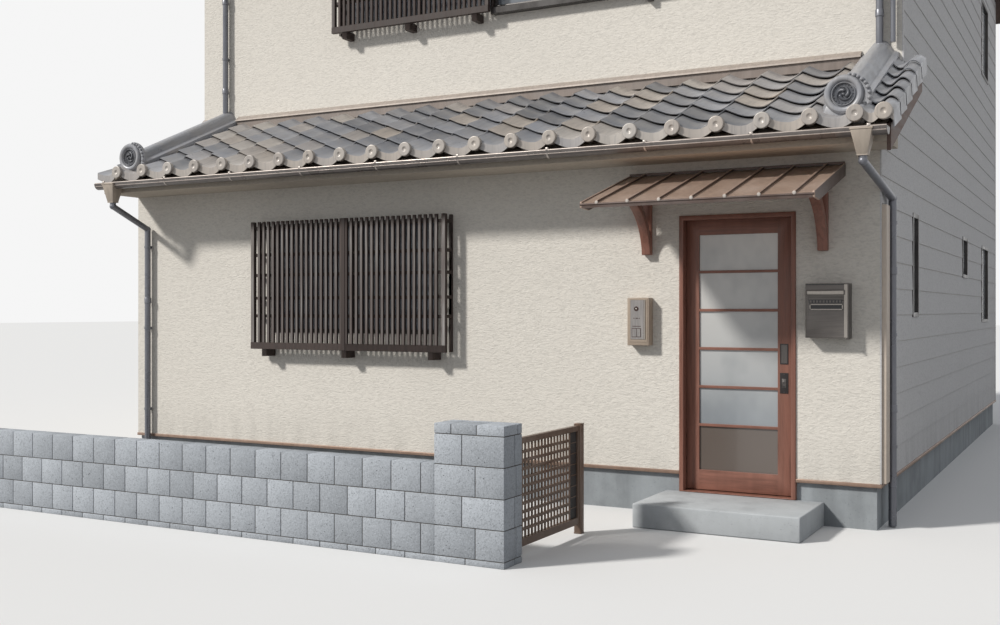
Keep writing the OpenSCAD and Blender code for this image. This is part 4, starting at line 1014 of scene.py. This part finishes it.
def gutterTrim():
    work = gutterWork
    trim, straps, funnels = bmesh.new(), bmesh.new(), bmesh.new()
    pentLow, pentHigh = lowOf("pent_gutter"), highOf("pent_gutter")
    mainLow, mainHigh = lowOf("main_gutters"), highOf("main_gutters")
    r = work["radius"]
    turn = work["secondTurn"]
    secondOut, secondDrop = (r - 0.002) * math.cos(turn), (r - 0.002) * math.sin(turn)
    pentY, mainY = frontY - work["pentOut"] - r, mainLow.y + r
    ends = x0, x1 = pentLow.x + work["endIn"], pentHigh.x - work["endIn"]
    count = max(2, round((x1 - x0) / work["pitch"]) + 1)
    pentRim, mainRim = pentHigh.z - work["rimDrop"], mainHigh.z - work["rimDrop"]
    for y, z, side in ((pentY, pentRim, -1), (mainY, mainRim, -1), (mainHigh.y - r, mainRim, 1)):
        # The rolls take the lighter metal as painted highlight
        rodInto(trim, ends, y + side * (r - work["bead"]), z, work["bead"], 14)
        rodInto(trim, ends, y + side * secondOut, z - secondDrop, work["second"], 10)
        rodInto(trim, ends, y - side * (r - work["rear"]), z, work["rear"], 8)
        for i in range(count):
            x = x0 + work["margin"] + i * (x1 - x0 - 2 * work["margin"]) / (count - 1)
            strapInto(straps, x, y, z, side)
    fromParty, fromCorner = work["funnelsIn"]
    pentPipes = (partyX + fromParty, sideX - fromCorner)
    for y, top, xs in ((pentY, pentHigh.z, pentPipes), (mainY, mainHigh.z, upperPipes)):
        for x in xs:
            funnelInto(funnels, x, y, top - work["funnelDrop"])
    made(trim, "gutterHighlightBeads", "rim")
    made(straps, "gutterStraps", "strap")
    made(funnels, "gutterFunnels", "funnel", smooth=25)


gutterTrim()


# Downspouts get sockets at their joints
pipeWork = {
    "socket": ((0, -0.03), (0.032, -0.03), (0.0355, -0.027), (0.0355, 0.026), (0.033, 0.03), (0, 0.03)),
    "rightIn": 0.035,     # from the sides of the node's box to the pipe's axis
    "leftIn": 0.038,
    "wallGap": 0.0523,    # from the wall to the axis
    "rightJoints": (0.9, 1.95),
    "leftJoints": (1.75,),
    "upperJoints": (4.1, 5.1),
}


def pipeSockets():
    work = pipeWork
    bm = bmesh.new()
    right, left = highOf("right_downspout"), lowOf("left_downspout")
    leftY = highOf("left_downspout").y - work["wallGap"]
    spots = [(right.x - work["rightIn"], right.y - work["rightIn"], work["rightJoints"]),
             (left.x + work["leftIn"], leftY, work["leftJoints"])]
    spots += [(x, upperY - work["wallGap"], work["upperJoints"]) for x in upperPipes]
    for x, y, heights in spots:
        for z in heights:
            turnedInto(bm, work["socket"], (x, y, z), (0, 0, 1), steps=24)
    made(bm, "pipeSockets", "pipe")


# Canopy: eased metal, a rolled nosing and round caps at the ends of the seams; its gable ends, the seams'
# sides and a strip at the wall take the near-black nosing metal as painted shade
canopyWork = {
    "capR": 0.0135,
    "seams": 7,
    "pitch": 0.245,
    "endIn": 0.016,       # from the node's side to the end of the roof sheet
    "reach": 1.0,         # from the lower front to the eave
    "noseR": 0.009,
    "noseZ": 2.45,
    # Heights of the near-black strip at the wall, painted shade of the eave above
    "eaveShadeStrip": (2.752, 2.771),   # heights of the strip at the wall
}


def canopyTrim():
    work = canopyWork
    metal = eased("canopy_roof", "canopyMetal", 0.003, ("canopy", "canopyEdge"),
                  segments=1)
    # Faces turned along X, the gable ends and the seams' sides, take the near-black metal as painted shade
    for face in metal.data.polygons:
        face.material_index = 1 if abs(face.normal.x) > 0.8 else 0   # gable ends and the sides of the seams
    eased("canopy_brackets", "canopyBrackets", 0.006, "redTimber")
    dark, caps = bmesh.new(), bmesh.new()
    x0, x1 = lowOf("canopy_roof").x + work["endIn"], highOf("canopy_roof").x - work["endIn"]
    noseY, noseZ = frontY - work["reach"], work["noseZ"]
    rodInto(dark, (x0 - 0.012, x1 + 0.012), noseY - 0.001, noseZ - 0.009, work["noseR"], 12)
    boxInto(dark, (x0, noseY - 0.004, noseZ - 0.036), (x1, noseY + 0.006, noseZ - 0.012))
    # Near-black strip along the wall: painted shade of the eave
    foot, top = work["eaveShadeStrip"]
    boxInto(dark, (x0 - 0.01, frontY - 0.02, foot), (x1 + 0.01, frontY - 0.0005, top))
    r = work["capR"]
    for i in range(work["seams"]):
        x = (x0 + x1) / 2 + (i - (work["seams"] - 1) / 2) * work["pitch"]
        turnedInto(caps, [(0, -0.006), (r, -0.006), (r, 0.004), (r * 0.7, 0.0075), (0, 0.0085)],
                   (x, noseY - 0.006, noseZ + 0.002), (0, -1, 0), steps=16)
    made(dark, "canopyNosingAndShadeStrip", "canopyEdge")
    made(caps, "seamCaps", "strap")


pipeSockets()
canopyTrim()
print("gutters, pipes and canopy trimmed")


# Lapped boards on the free side and the back, each with a shadow edge below
sidingWork = {
    "rise": 0.21,
    "foot": 0.352,
    "thick": 0.007,
    "thin": 0.0015,
    "gap": 0.004,
    "least": 0.006,       # lower remnants beside a window are left out
    "trim": 0.02,
    "trimT": 0.011,
    "lowerTop": 3.5,      # no board starts higher below the pent roof
    "pentDrop": 0.122,    # from the boards of each roof down to the end of the siding
    "mainDrop": 0.14,
    "backDrop": 0.08,
}


# Strips of one lapped course between two ends, without the windows; place(along, out, height) is a point
def courseInto(bm, ends, z0, z1, holes, place):
    work = sidingWork
    taper = (work["thick"] - work["thin"]) / work["rise"]
    cuts = sorted({*ends, *(edge for hole in holes for edge in hole[:2] if ends[0] < edge < ends[1])})
    for start, end in zip(cuts, cuts[1:]):
        spans = [(z0, z1)]
        for low, high, foot, head in holes:
            if low < (start + end) / 2 < high:
                spans = [piece for a, b in spans for piece in ((a, min(b, foot)), (max(a, head), b))]
        for a, b in spans:
            if b - a > work["least"]:
                outer = [place(start, work["thick"] - taper * (z - z0), z) for z in (a, b)]
                outline = [place(start, 0, a), *outer, place(start, 0, b)]
                outlineOut(bm, outline, Vector(place(end, 0, a)) - Vector(outline[0]))


def windowHoles(node, axis):
    return [(low[axis], high[axis], low.z, high.z) for low, high in solidBoxes(node)]


def lappedSiding():
    work = sidingWork
    roofLine = highOf("right_side_wall").z
    normal = Vector((0, -math.sin(slopeAngle), math.cos(slopeAngle)))
    sideHoles, backHoles = windowHoles("side_sashes", 1), windowHoles("back_sashes", 0)
    lower, upper, rear = bmesh.new(), bmesh.new(), bmesh.new()

    def onSide(along, out, height):
        return sideX + out, along, height

    def onBack(along, out, height):
        return along, backY + out, height

    foot, backTop = work["foot"], highOf("back_wall").z
    z = foot
    while z < roofLine:
        top = z + work["rise"] - work["gap"]
        if z < work["lowerTop"]:
            courseInto(lower, (frontY + 0.018, upperY), z, top, sideHoles, onSide)
        courseInto(upper, (upperY, backY - 0.002), z, top, sideHoles, onSide)
        if z < backTop:
            courseInto(rear, (partyX + 0.002, sideX - 0.002), z, top, backHoles, onBack)
        z += work["rise"]
    pentLine = pentBoards(frontY) - work["pentDrop"]
    cutAway(lower, (0, frontY, pentLine), normal)
    cutAway(upper, (0, ridgeY, roofLine), normal)
    cutAway(upper, (0, ridgeY, roofLine), (0, -normal.y, normal.z))
    cutAway(rear, (0, backY, backTop - work["backDrop"]), (0, 0, 1))
    joinInto(upper, lower)
    joinInto(upper, rear)
    trim, out = work["trim"], work["trimT"]
    upperTop, rearTop = (mainBoards(y) - work["mainDrop"] for y in (upperY, backY))
    for low, high in (((sideX, frontY + 0.001, foot), (sideX + out, frontY + trim - 0.001, pentLine)),
                      ((sideX, upperY + 0.001, pentBoards(upperY)), (sideX + out, upperY + trim, upperTop)),
                      ((sideX - trim, backY - trim, foot), (sideX + out, backY + out, rearTop))):
        boxInto(upper, low, high)
    made(upper, "lappedBoards", "siding", smooth=0)


lappedSiding()
print("side boards hung")


# Block wall: bevelled blocks before a mortar core
blockWork = {
    "joint": 0.0055,
    "bevel": 0.004,
    "length": 0.235,
    "height": 0.2,
    "foot": 0.042,        # of the lowest course over the ground
    "core": 0.005,        # the mortar behind the blocks' faces
    "wallT": 0.15,
    "wallRows": 3,
    "wallStart": (0.005, -0.105),   # first joint from the pillar, in even and odd courses
    "shortest": 0.05,
    "pillarW": 0.522,
    # Joints from the pillar's left side and from its front, course by course from the foot up
    "pillarJoints": ((0.235,), (0.31,), (0.21,), (0.31,), (0.21,), (0.128, 0.319)),
    "sideJoints": (0.148, 0.168, 0.148, 0.168, 0.148, 0.19),
    "seed": 11,
}


# Lower and upper edge of each course from the ground up
def blockRows(count):
    foot, height = blockWork["foot"], blockWork["height"]
    return [(0, foot)] + [(foot + i * height, foot + (i + 1) * height) for i in range(count)]


def blockwallPieces():
    work = blockWork
    draw = random.Random(work["seed"])
    bm = bmesh.new()
    bm.verts.layers.float.new("blockTone")
    low, high = lowOf("street_wall"), highOf("street_wall")
    pillarX = high.x - work["pillarW"]
    wallBack = low.y + work["wallT"]
    wallTop = work["foot"] + work["wallRows"] * work["height"]
    gap = work["joint"] / 2

    # A block inside its joints; jointed names the sides that have one, 0 or 1 each
    def block(x0, x1, y0, y1, z0, z1, jointed):
        part = bmesh.new()
        boxInto(part, (x0 + gap * jointed[0], y0 + gap * jointed[2], z0 + gap * jointed[4]),
                (x1 - gap * jointed[1], y1 - gap * jointed[3], z1 - gap * jointed[5]))
        softEdges(part, work["bevel"], 2)
        setTone(part, "blockTone", draw.random())
        joinInto(bm, part)

    for row, (z0, z1) in enumerate(blockRows(work["wallRows"])):
        x = pillarX + work["wallStart"][row % 2]
        breaks = [pillarX]
        while x > low.x + work["shortest"]:
            breaks.append(x)
            x -= work["length"]
        breaks.append(low.x)
        for right, left in zip(breaks, breaks[1:]):
            jointed = (left > low.x, right < pillarX, 0, 0, z0 > 0, z1 < wallTop)
            block(left, right, low.y, wallBack, z0, z1, jointed)
    capZ = work["foot"] + 4 * work["height"]
    pillarRows = zip([*blockRows(4), (capZ, high.z)], work["pillarJoints"], work["sideJoints"])
    for (z0, z1), joints, sideJoint in pillarRows:
        depth = low.y + sideJoint
        xs = [pillarX, *(pillarX + joint for joint in joints), high.x]
        for left, right in zip(xs, xs[1:]):
            for y0, y1 in ((low.y, depth), (depth, high.y)):
                jointed = (left > pillarX, right < high.x, y0 > low.y, y1 < high.y, z0 > 0, z0 < capZ)
                block(left, right, y0, y1, z0, z1, jointed)
    made(bm, "streetBlocks", "block", replaces=("street_wall",), smooth=30)
    core = bmesh.new()
    inset = work["core"]
    boxInto(core, (low.x + inset, low.y + inset, 0), (pillarX + 0.02, wallBack - inset, wallTop - inset))
    boxInto(core, (pillarX + inset, low.y + inset, 0), (high.x - inset, high.y - inset, high.z - inset))
    made(core, "streetMortar", "mortar", smooth=0)


blockwallPieces()
print("street wall laid")


# Fence panel: round-edged frame, pierced filling, a near-black strip by the post as painted shade, post with
# cap and foot
fenceWork = {
    "foot": 0.075,
    "top": 0.8,
    "postSide": 0.048,    # from the post's outer side to the panel
    "frame": 0.04,
    "sill": 0.052,        # height of the frame's lower rail
    "thick": 0.036,
    "columns": 17,
    "rows": 11,
    "barShare": 0.38,     # of a column's pitch
    "railShare": 0.34,    # of a row's pitch
    "strip": 0.11,
    "stripRows": 8,
    "postW": 0.06,
}


def fencePanel():
    work = fenceWork
    low, high = lowOf("fence_panel"), highOf("fence_panel")
    midX = (low.x + high.x) / 2
    z0, z1 = work["foot"], work["top"]
    y0, y1 = low.y, high.y - work["postSide"]
    innerY0, innerY1, stripY1 = y0 + work["frame"], y1 - work["frame"] - work["strip"], y1 - work["frame"]
    innerZ0, innerZ1 = z0 + work["sill"], z1 - work["frame"]
    bm, dark = bmesh.new(), bmesh.new()

    # A box about the panel's middle plane
    def middleBox(part, half, startY, endY, startZ, endZ):
        boxInto(part, (midX - half, startY, startZ), (midX + half, endY, endZ))

    for frameBox in ((y0, innerY0, z0, z1), (stripY1, y1, z0, z1), (innerY0, stripY1, z0, innerZ0),
                     (innerY0, stripY1, innerZ1, z1)):
        middleBox(bm, work["thick"] / 2, *frameBox)
    stepY = (innerY1 - innerY0) / work["columns"]
    stepZ = (innerZ1 - innerZ0) / work["rows"]
    barY, barZ = stepY * work["barShare"], stepZ * work["railShare"]
    for i in range(work["columns"] + 1):
        y = innerY0 + i * stepY
        middleBox(bm, 0.005, max(innerY0, y - barY / 2), y + barY / 2, innerZ0, innerZ1)
    for i in range(1, work["rows"]):
        z = innerZ0 + i * stepZ
        middleBox(bm, 0.0095, innerY0, innerY1, z - barZ / 2, z + barZ / 2)
    softEdges(bm, 0.0018)
    # Near-black sheet by the post: painted shade
    middleBox(dark, 0.003, innerY1 + 0.004, stripY1, innerZ0, innerZ1)
    for i in range(1, work["stripRows"]):
        z = innerZ0 + i * (innerZ1 - innerZ0) / work["stripRows"]
        middleBox(bm, 0.008, innerY1, stripY1, z - 0.0025, z + 0.0025)
    post = bmesh.new()
    half, postY = work["postW"] / 2, high.y - work["postW"]
    middleBox(post, half, postY, high.y, 0.012, high.z - 0.01)
    upright = [edge for edge in post.edges if abs(edge.verts[0].co.z - edge.verts[1].co.z) > 0.1]
    softEdges(post, 0.012, 4, edges=upright)
    joinInto(bm, post)
    for foot, top in ((0.0, 0.014), (high.z - 0.012, high.z)):
        softBoxInto(bm, (midX - half, postY, foot), (midX + half, high.y, top), 0.0045, 2)
    made(bm, "fencePanel", "bronze", replaces=("fence_panel",), smooth=30)
    made(dark, "fenceShadeStrip", "darkBronze", smooth=0)


fencePanel()


# Intercom: bevelled case, steel plate with lens, dots, slit and a two-part blank plate
intercomWork = {
    "faceIn": 0.015,      # the case's face from the node's front
    "caseRim": (0.02, 0.174, 0.03, 0.38),   # each part's two sides, foot and top from the case's lower left
    "plate": (0.03, 0.146, 0.05, 0.372),
    "edge": (0.147, 0.158, 0.05, 0.372),
    "lens": (0.082, 0.3),
    "lensProfile": ((0, -0.002), (0.019, -0.002), (0.019, 0.004), (0.016, 0.006), (0.013, 0.0045),
                    (0.011, 0.001), (0, 0.001)),
    "pupilProfile": ((0, 0), (0.0075, 0), (0.0075, 0.003), (0.004, 0.0055), (0, 0.006)),
    "dots": ((-0.02, 0.0042), (0.0, 0.0052), (0.012, 0.0042), (0.026, 0.0038)),   # to the right, radius
    "dotDrop": 0.078,     # from the lens
    "slit": (0.048, 0.12, 0.155, 0.16),
    "keyGround": (0.044, 0.122, 0.068, 0.142),
    "keys": ((0.048, 0.081, 0.072, 0.138), (0.085, 0.118, 0.072, 0.138)),
}


def intercomPieces():
    work = intercomWork
    low, high = lowOf("intercom"), highOf("intercom")
    face = low.y + work["faceIn"]
    front = face - 0.007
    case, steel, dark, trim = bmesh.new(), bmesh.new(), bmesh.new(), bmesh.new()

    # The two corners of a part between two depths
    def corners(part, startY, endY):
        left, right, foot, top = part
        return (low.x + left, startY, low.z + foot), (low.x + right, endY, low.z + top)

    boxInto(case, (low.x, face, low.z), high)
    softEdges(case, 0.006, 3)
    boxInto(case, *corners(work["caseRim"], face - 0.003, face + 0.002))
    boxInto(steel, *corners(work["plate"], front, face - 0.001))
    softEdges(steel, 0.0015)
    boxInto(trim, *corners(work["edge"], front - 0.0015, face - 0.001))
    lensX, lensZ = low.x + work["lens"][0], low.z + work["lens"][1]
    turnedInto(dark, work["lensProfile"], (lensX, front, lensZ), (0, -1, 0), steps=28)
    turnedInto(trim, work["pupilProfile"], (lensX, front, lensZ), (0, -1, 0), steps=18)
    for out, r in work["dots"]:
        turnedInto(dark, [(0, -0.001), (r, -0.001), (r, 0.0012), (r * 0.6, 0.002), (0, 0.002)],
                   (lensX + out, front, lensZ - work["dotDrop"]), (0, -1, 0), steps=14)
    boxInto(dark, *corners(work["slit"], front - 0.001, front + 0.002))
    boxInto(dark, *corners(work["keyGround"], front - 0.0016, front + 0.002))
    for key in work["keys"]:
        softBoxInto(steel, *corners(key, front - 0.0045, front), 0.0012)
    made(case, "intercomCase", "plastic", replaces=("intercom",), smooth=30)
    made(steel, "intercomPlate", "plate", smooth=30)
    made(trim, "intercomTrim", "boxTrim")
    made(dark, "intercomDark", "lens")


# Mailbox: the node's box with eased edges, a bright bar in lighter steel as painted highlight, a slotted vent
# row and a framed flap, with near-black pieces as painted shade behind the vents, inside the flap's frame and
# at the lid
mailboxWork = {
    "depth": 0.12,        # the box's face from the lower front
    # Each part in from the left and the right side, then its foot and top from the box's top
    "bar": (0.016, 0.034, 0.084, 0.056),
    "ventRow": (0.028, 0.05, 0.145, 0.127),
    "vents": 10,
    "flap": (0.034, 0.042, 0.198, 0.156),
    "flapFrame": 0.006,
    "lidLine": (0.004, 0.008, 0.012, 0.006),
}


def mailboxPieces():
    work = mailboxWork
    low, high = lowOf("mailbox"), highOf("mailbox")
    eased("mailbox", "mailboxBody", 0.0025, "box")
    face, top = frontY - work["depth"], high.z
    trim, vents, dark = bmesh.new(), bmesh.new(), bmesh.new()

    # Left, right, foot and top of a part on the face
    def sides(part):
        left, right, foot, head = part
        return low.x + left, high.x - right, top - foot, top - head

    x0, x1, z0, z1 = sides(work["bar"])
    # Bar, side strip and flap frame in the lighter steel: painted highlights
    softBoxInto(trim, (x0, face - 0.014, z0), (x1, face - 0.006, z1), 0.0035, 2)
    boxInto(trim, (high.x - 0.032, face - 0.004, low.z + 0.012), (high.x - 0.008, face + 0.002, top - 0.008))
    x0, x1, z0, z1 = sides(work["ventRow"])
    # Near-black backing behind the vents: painted shade between them
    boxInto(dark, (x0 - 0.001, face - 0.0008, z0 - 0.005), (x1 + 0.001, face + 0.004, z1 + 0.005))
    for i in range(work["vents"]):
        x = x0 + (i + 0.5) * (x1 - x0) / work["vents"]
        boxInto(vents, (x - 0.007, face - 0.0022, z0), (x + 0.007, face + 0.002, z1))
    x0, x1, z0, z1 = sides(work["flap"])
    edge = work["flapFrame"]
    for a, b in (((x0, z0), (x1, z0 + edge)), ((x0, z1 - edge), (x1, z1)), ((x0, z0), (x0 + edge, z1)),
                 ((x1 - edge, z0), (x1, z1))):
        boxInto(trim, (a[0], face - 0.005, a[1]), (b[0], face + 0.001, b[1]))
    # Near-black inside the flap's frame: painted shade in the opening
    boxInto(dark, (x0 + edge, face + 0.004, z0 + edge), (x1 - edge, face + 0.01, z1 - edge))
    x0, x1, z0, z1 = sides(work["lidLine"])
    # Near-black line at the lid: painted shade in its gap
    boxInto(dark, (x0, face - 0.0012, z0), (x1, face + 0.002, z1))
    made(trim, "mailboxHighlightTrim", "boxTrim")
    made(vents, "mailboxVents", "box")
    made(dark, "mailboxShade", "black")


intercomPieces()
mailboxPieces()
print("fittings made")


# Door: eased timber, and detail on the pull and the lock that moves with the leaf
doorWork = {
    "plateHalf": 0.08,    # half the height of the lock's and the pull's plate
    "lock": (0.017, 0.034),       # half its width and height
    "pullIn": 0.0082,     # the pull's floor from the plate's sides
    "pullHalf": 0.0715,
    "cylinder": ((0, 0), (0.0115, 0), (0.0115, 0.003), (0.009, 0.0045), (0, 0.0045)),
    "screw": ((0, 0), (0.0032, 0), (0.0028, 0.0012), (0, 0.0016)),
    "screwsOut": (0.07, 0.076),   # from the middle of the lock and of the pull
}


def doorPieces():
    work = doorWork
    eased("door_frame", "doorFrame", 0.003, "frameTimber")
    eased("inner_jamb", "innerJamb", 0.003, "redTimber")
    eased("door_leaf", "doorLeaf", 0.0022, "leafTimber", body="door")
    low, high = lowOf("door_plates"), highOf("door_plates")
    x, y = (low.x + high.x) / 2, low.y
    lockZ, pullZ = low.z + work["plateHalf"], high.z - work["plateHalf"]
    inset, dark = bmesh.new(), bmesh.new()
    half, rise = work["lock"]
    softBoxInto(inset, (x - half, y - 0.0028, lockZ - rise), (x + half, y + 0.001, lockZ + rise), 0.0014, 2)
    turnedInto(inset, work["cylinder"], (x, y - 0.0015, lockZ + 0.008), (0, -1, 0), steps=24)
    boxInto(dark, (x - 0.0012, y - 0.0068, lockZ + 0.001), (x + 0.0012, y - 0.004, lockZ + 0.015))
    boxInto(dark, (x - 0.01, y - 0.0036, lockZ - 0.027), (x + 0.01, y - 0.002, lockZ - 0.022))
    boxInto(inset, (low.x + work["pullIn"], y + 0.0022, pullZ - work["pullHalf"]),
            (high.x - work["pullIn"], y + 0.0031, pullZ + work["pullHalf"]))
    for z, out in zip((lockZ, pullZ), work["screwsOut"]):
        for side in (-1, 1):
            turnedInto(inset, work["screw"], (x, y, z + side * out), (0, -1, 0), steps=12)
    made(inset, "lockInsets", "lockInset", body="door")
    made(dark, "keyhole", "black", body="door")


doorPieces()

# Node copies with eased edges, where only the edges of the plain solid are too sharp
for node, name, width, paint, slot, segments in (
        ("lower_lattice", "lowerLattice", 0.0018, "darkTimber", "dark_timber", 1),
        ("upper_lattice", "upperLattice", 0.0018, "darkTimber", "dark_timber", 1),
        ("door_step", "doorStep", 0.011, "step", "concrete", 3),
        ("drip_strip", "dripStrip", 0.004, "drip", "brown_metal", 2),
        ("bargeboards", "bargeBoards", 0.003, "eaves", "eaves_boards", 1),
        ("pipe_cover", "pipeCover", 0.004, "cover", "beige_plastic", 2),
        ("front_sashes", "frontSashes", 0.002, "sash", "dark_fittings", 1),
        ("side_sashes", "sideSashes", 0.002, "sash", "dark_fittings", 1),
        ("back_sashes", "backSashes", 0.002, "sash", "dark_fittings", 1)):
    eased(node, name, width, paint, segments=segments)
print("edges eased")


# Camera and light
cameraWork = {
    "place": (5.347, -13.328, 1.65),
    "forward": (-0.4772, 0.8788, 0.0),
    "lens": 40.86,
    "shiftY": -0.0025,
}


def setCamera():
    data = bpy.data.cameras.new("photoCamera")
    data.lens = cameraWork["lens"]
    data.sensor_width = 36
    data.shift_y = cameraWork["shiftY"]
    data.clip_end = 300
    camera = bpy.data.objects.new("photoCamera", data)
    camera.location = cameraWork["place"]
    camera.rotation_mode = "QUATERNION"
    camera.rotation_quaternion = Vector(cameraWork["forward"]).to_track_quat("-Z", "Y")
    bpy.context.scene.collection.objects.link(camera)
    bpy.context.scene.camera = camera


lightWork = {
    "keyFrom": (-0.6, -0.66, 0.66),
    "keyStrength": 3.1,
    "keyAngle": 6.0,
    "keyColour": (1.0, 0.97, 0.92),
    "skyStrength": 0.46,
    "skyColour": (0.93, 0.96, 1.0),
    "paper": 0.92,        # the world as the camera sees it
    "floorSeen": 0.8,
    "floorLit": 0.26,
}


# 1 for the camera's own, mirrored and passed rays, 0 for the rest
def seenDirectly(tree):
    rays = tree.nodes.new("ShaderNodeLightPath")
    total = rays.outputs["Is Camera Ray"]
    for socket in ("Is Glossy Ray", "Is Transmission Ray"):
        pick = tree.nodes.new("ShaderNodeMath")
        pick.operation = "MAXIMUM"
        tree.links.new(total, pick.inputs[0])
        tree.links.new(rays.outputs[socket], pick.inputs[1])
        total = pick.outputs["Value"]
    return total


def setLight():
    key = bpy.data.lights.new("keyLight", "SUN")
    key.energy = lightWork["keyStrength"]
    key.angle = math.radians(lightWork["keyAngle"])
    key.color = lightWork["keyColour"]
    lamp = bpy.data.objects.new("keyLight", key)
    lamp.rotation_mode = "QUATERNION"
    lamp.rotation_quaternion = Vector(lightWork["keyFrom"]).to_track_quat("Z", "Y")
    bpy.context.scene.collection.objects.link(lamp)
    world = bpy.data.worlds.new("studio")
    bpy.context.scene.world = world
    world.use_nodes = True
    tree = world.node_tree
    sky = tree.nodes["Background"]
    sky.inputs["Color"].default_value = (*lightWork["skyColour"], 1)
    sky.inputs["Strength"].default_value = lightWork["skyStrength"]
    paper = tree.nodes.new("ShaderNodeBackground")
    paper.inputs["Color"].default_value = (1, 1, 1, 1)
    paper.inputs["Strength"].default_value = lightWork["paper"]
    mix = tree.nodes.new("ShaderNodeMixShader")
    tree.links.new(seenDirectly(tree), mix.inputs["Fac"])
    tree.links.new(sky.outputs["Background"], mix.inputs[1])
    tree.links.new(paper.outputs["Background"], mix.inputs[2])
    tree.links.new(mix.outputs["Shader"], tree.nodes["World Output"].inputs["Surface"])


# Pale floor, which throws back less light than it shows
def setFloor():
    bm = bmesh.new()
    bmesh.ops.create_grid(bm, x_segments=1, y_segments=1, size=120)
    mesh = meshOf(bm, "studioFloor")
    paint = Paint("studioFloor", roughness=0.95, specular=0.0)
    seen, lit = ((lightWork[key],) * 3 for key in ("floorSeen", "floorLit"))
    paint.colour(paint.blend(seenDirectly(paint.tree), lit, seen))
    mesh.materials.append(paint.material)
    floor = bpy.data.objects.new("studioFloor", mesh)
    bpy.context.scene.collection.objects.link(floor)


setCamera()
setLight()
setFloor()

# Each finish and the CAD nodes that have it
nodeFinishes = {
    "stucco": ("front_wall_left", "front_wall_right", "door_lintel_wall", "pocket_lining", "upper_front_wall",
               "left_party_wall", "right_side_wall"),
    "siding": ("back_wall",),
    "soffitPaintedShade": ("pent_roof",),
    "foundation": ("foundation",),
    "boards": ("ground_floor", "upper_floor"),
    "redTimber": ("inner_jamb", "canopy_brackets", "door_frame", "door_leaf"),
    "drip": ("drip_strip",),
    "apron": ("pent_apron",),
    "tile": ("pent_ridges", "pent_tiles", "main_tiles", "main_ridge"),
    "eaves": ("main_roof", "bargeboards"),
    "gutter": ("pent_gutter", "main_gutters"),
    "pipe": ("right_downspout", "left_downspout", "upper_downspouts"),
    "canopy": ("canopy_roof",),
    "opal": ("door_panes",),
    "lockPlate": ("door_plates",),
    "step": ("door_step",),
    "darkTimber": ("lower_lattice", "upper_lattice"),
    "sash": ("front_sashes", "side_sashes", "back_sashes"),
    "windowGlass": ("window_glass",),
    "plastic": ("intercom",),
    "box": ("mailbox",),
    "cover": ("pipe_cover",),
    "block": ("street_wall",),
    "bronze": ("fence_panel",),
}
for kind, names in nodeFinishes.items():
    for name in names:
        nodes[name].data.materials.clear()
        nodes[name].data.materials.append(finishes[kind])
print("nodes painted")

bpy.context.scene.view_settings.view_transform = "Standard"
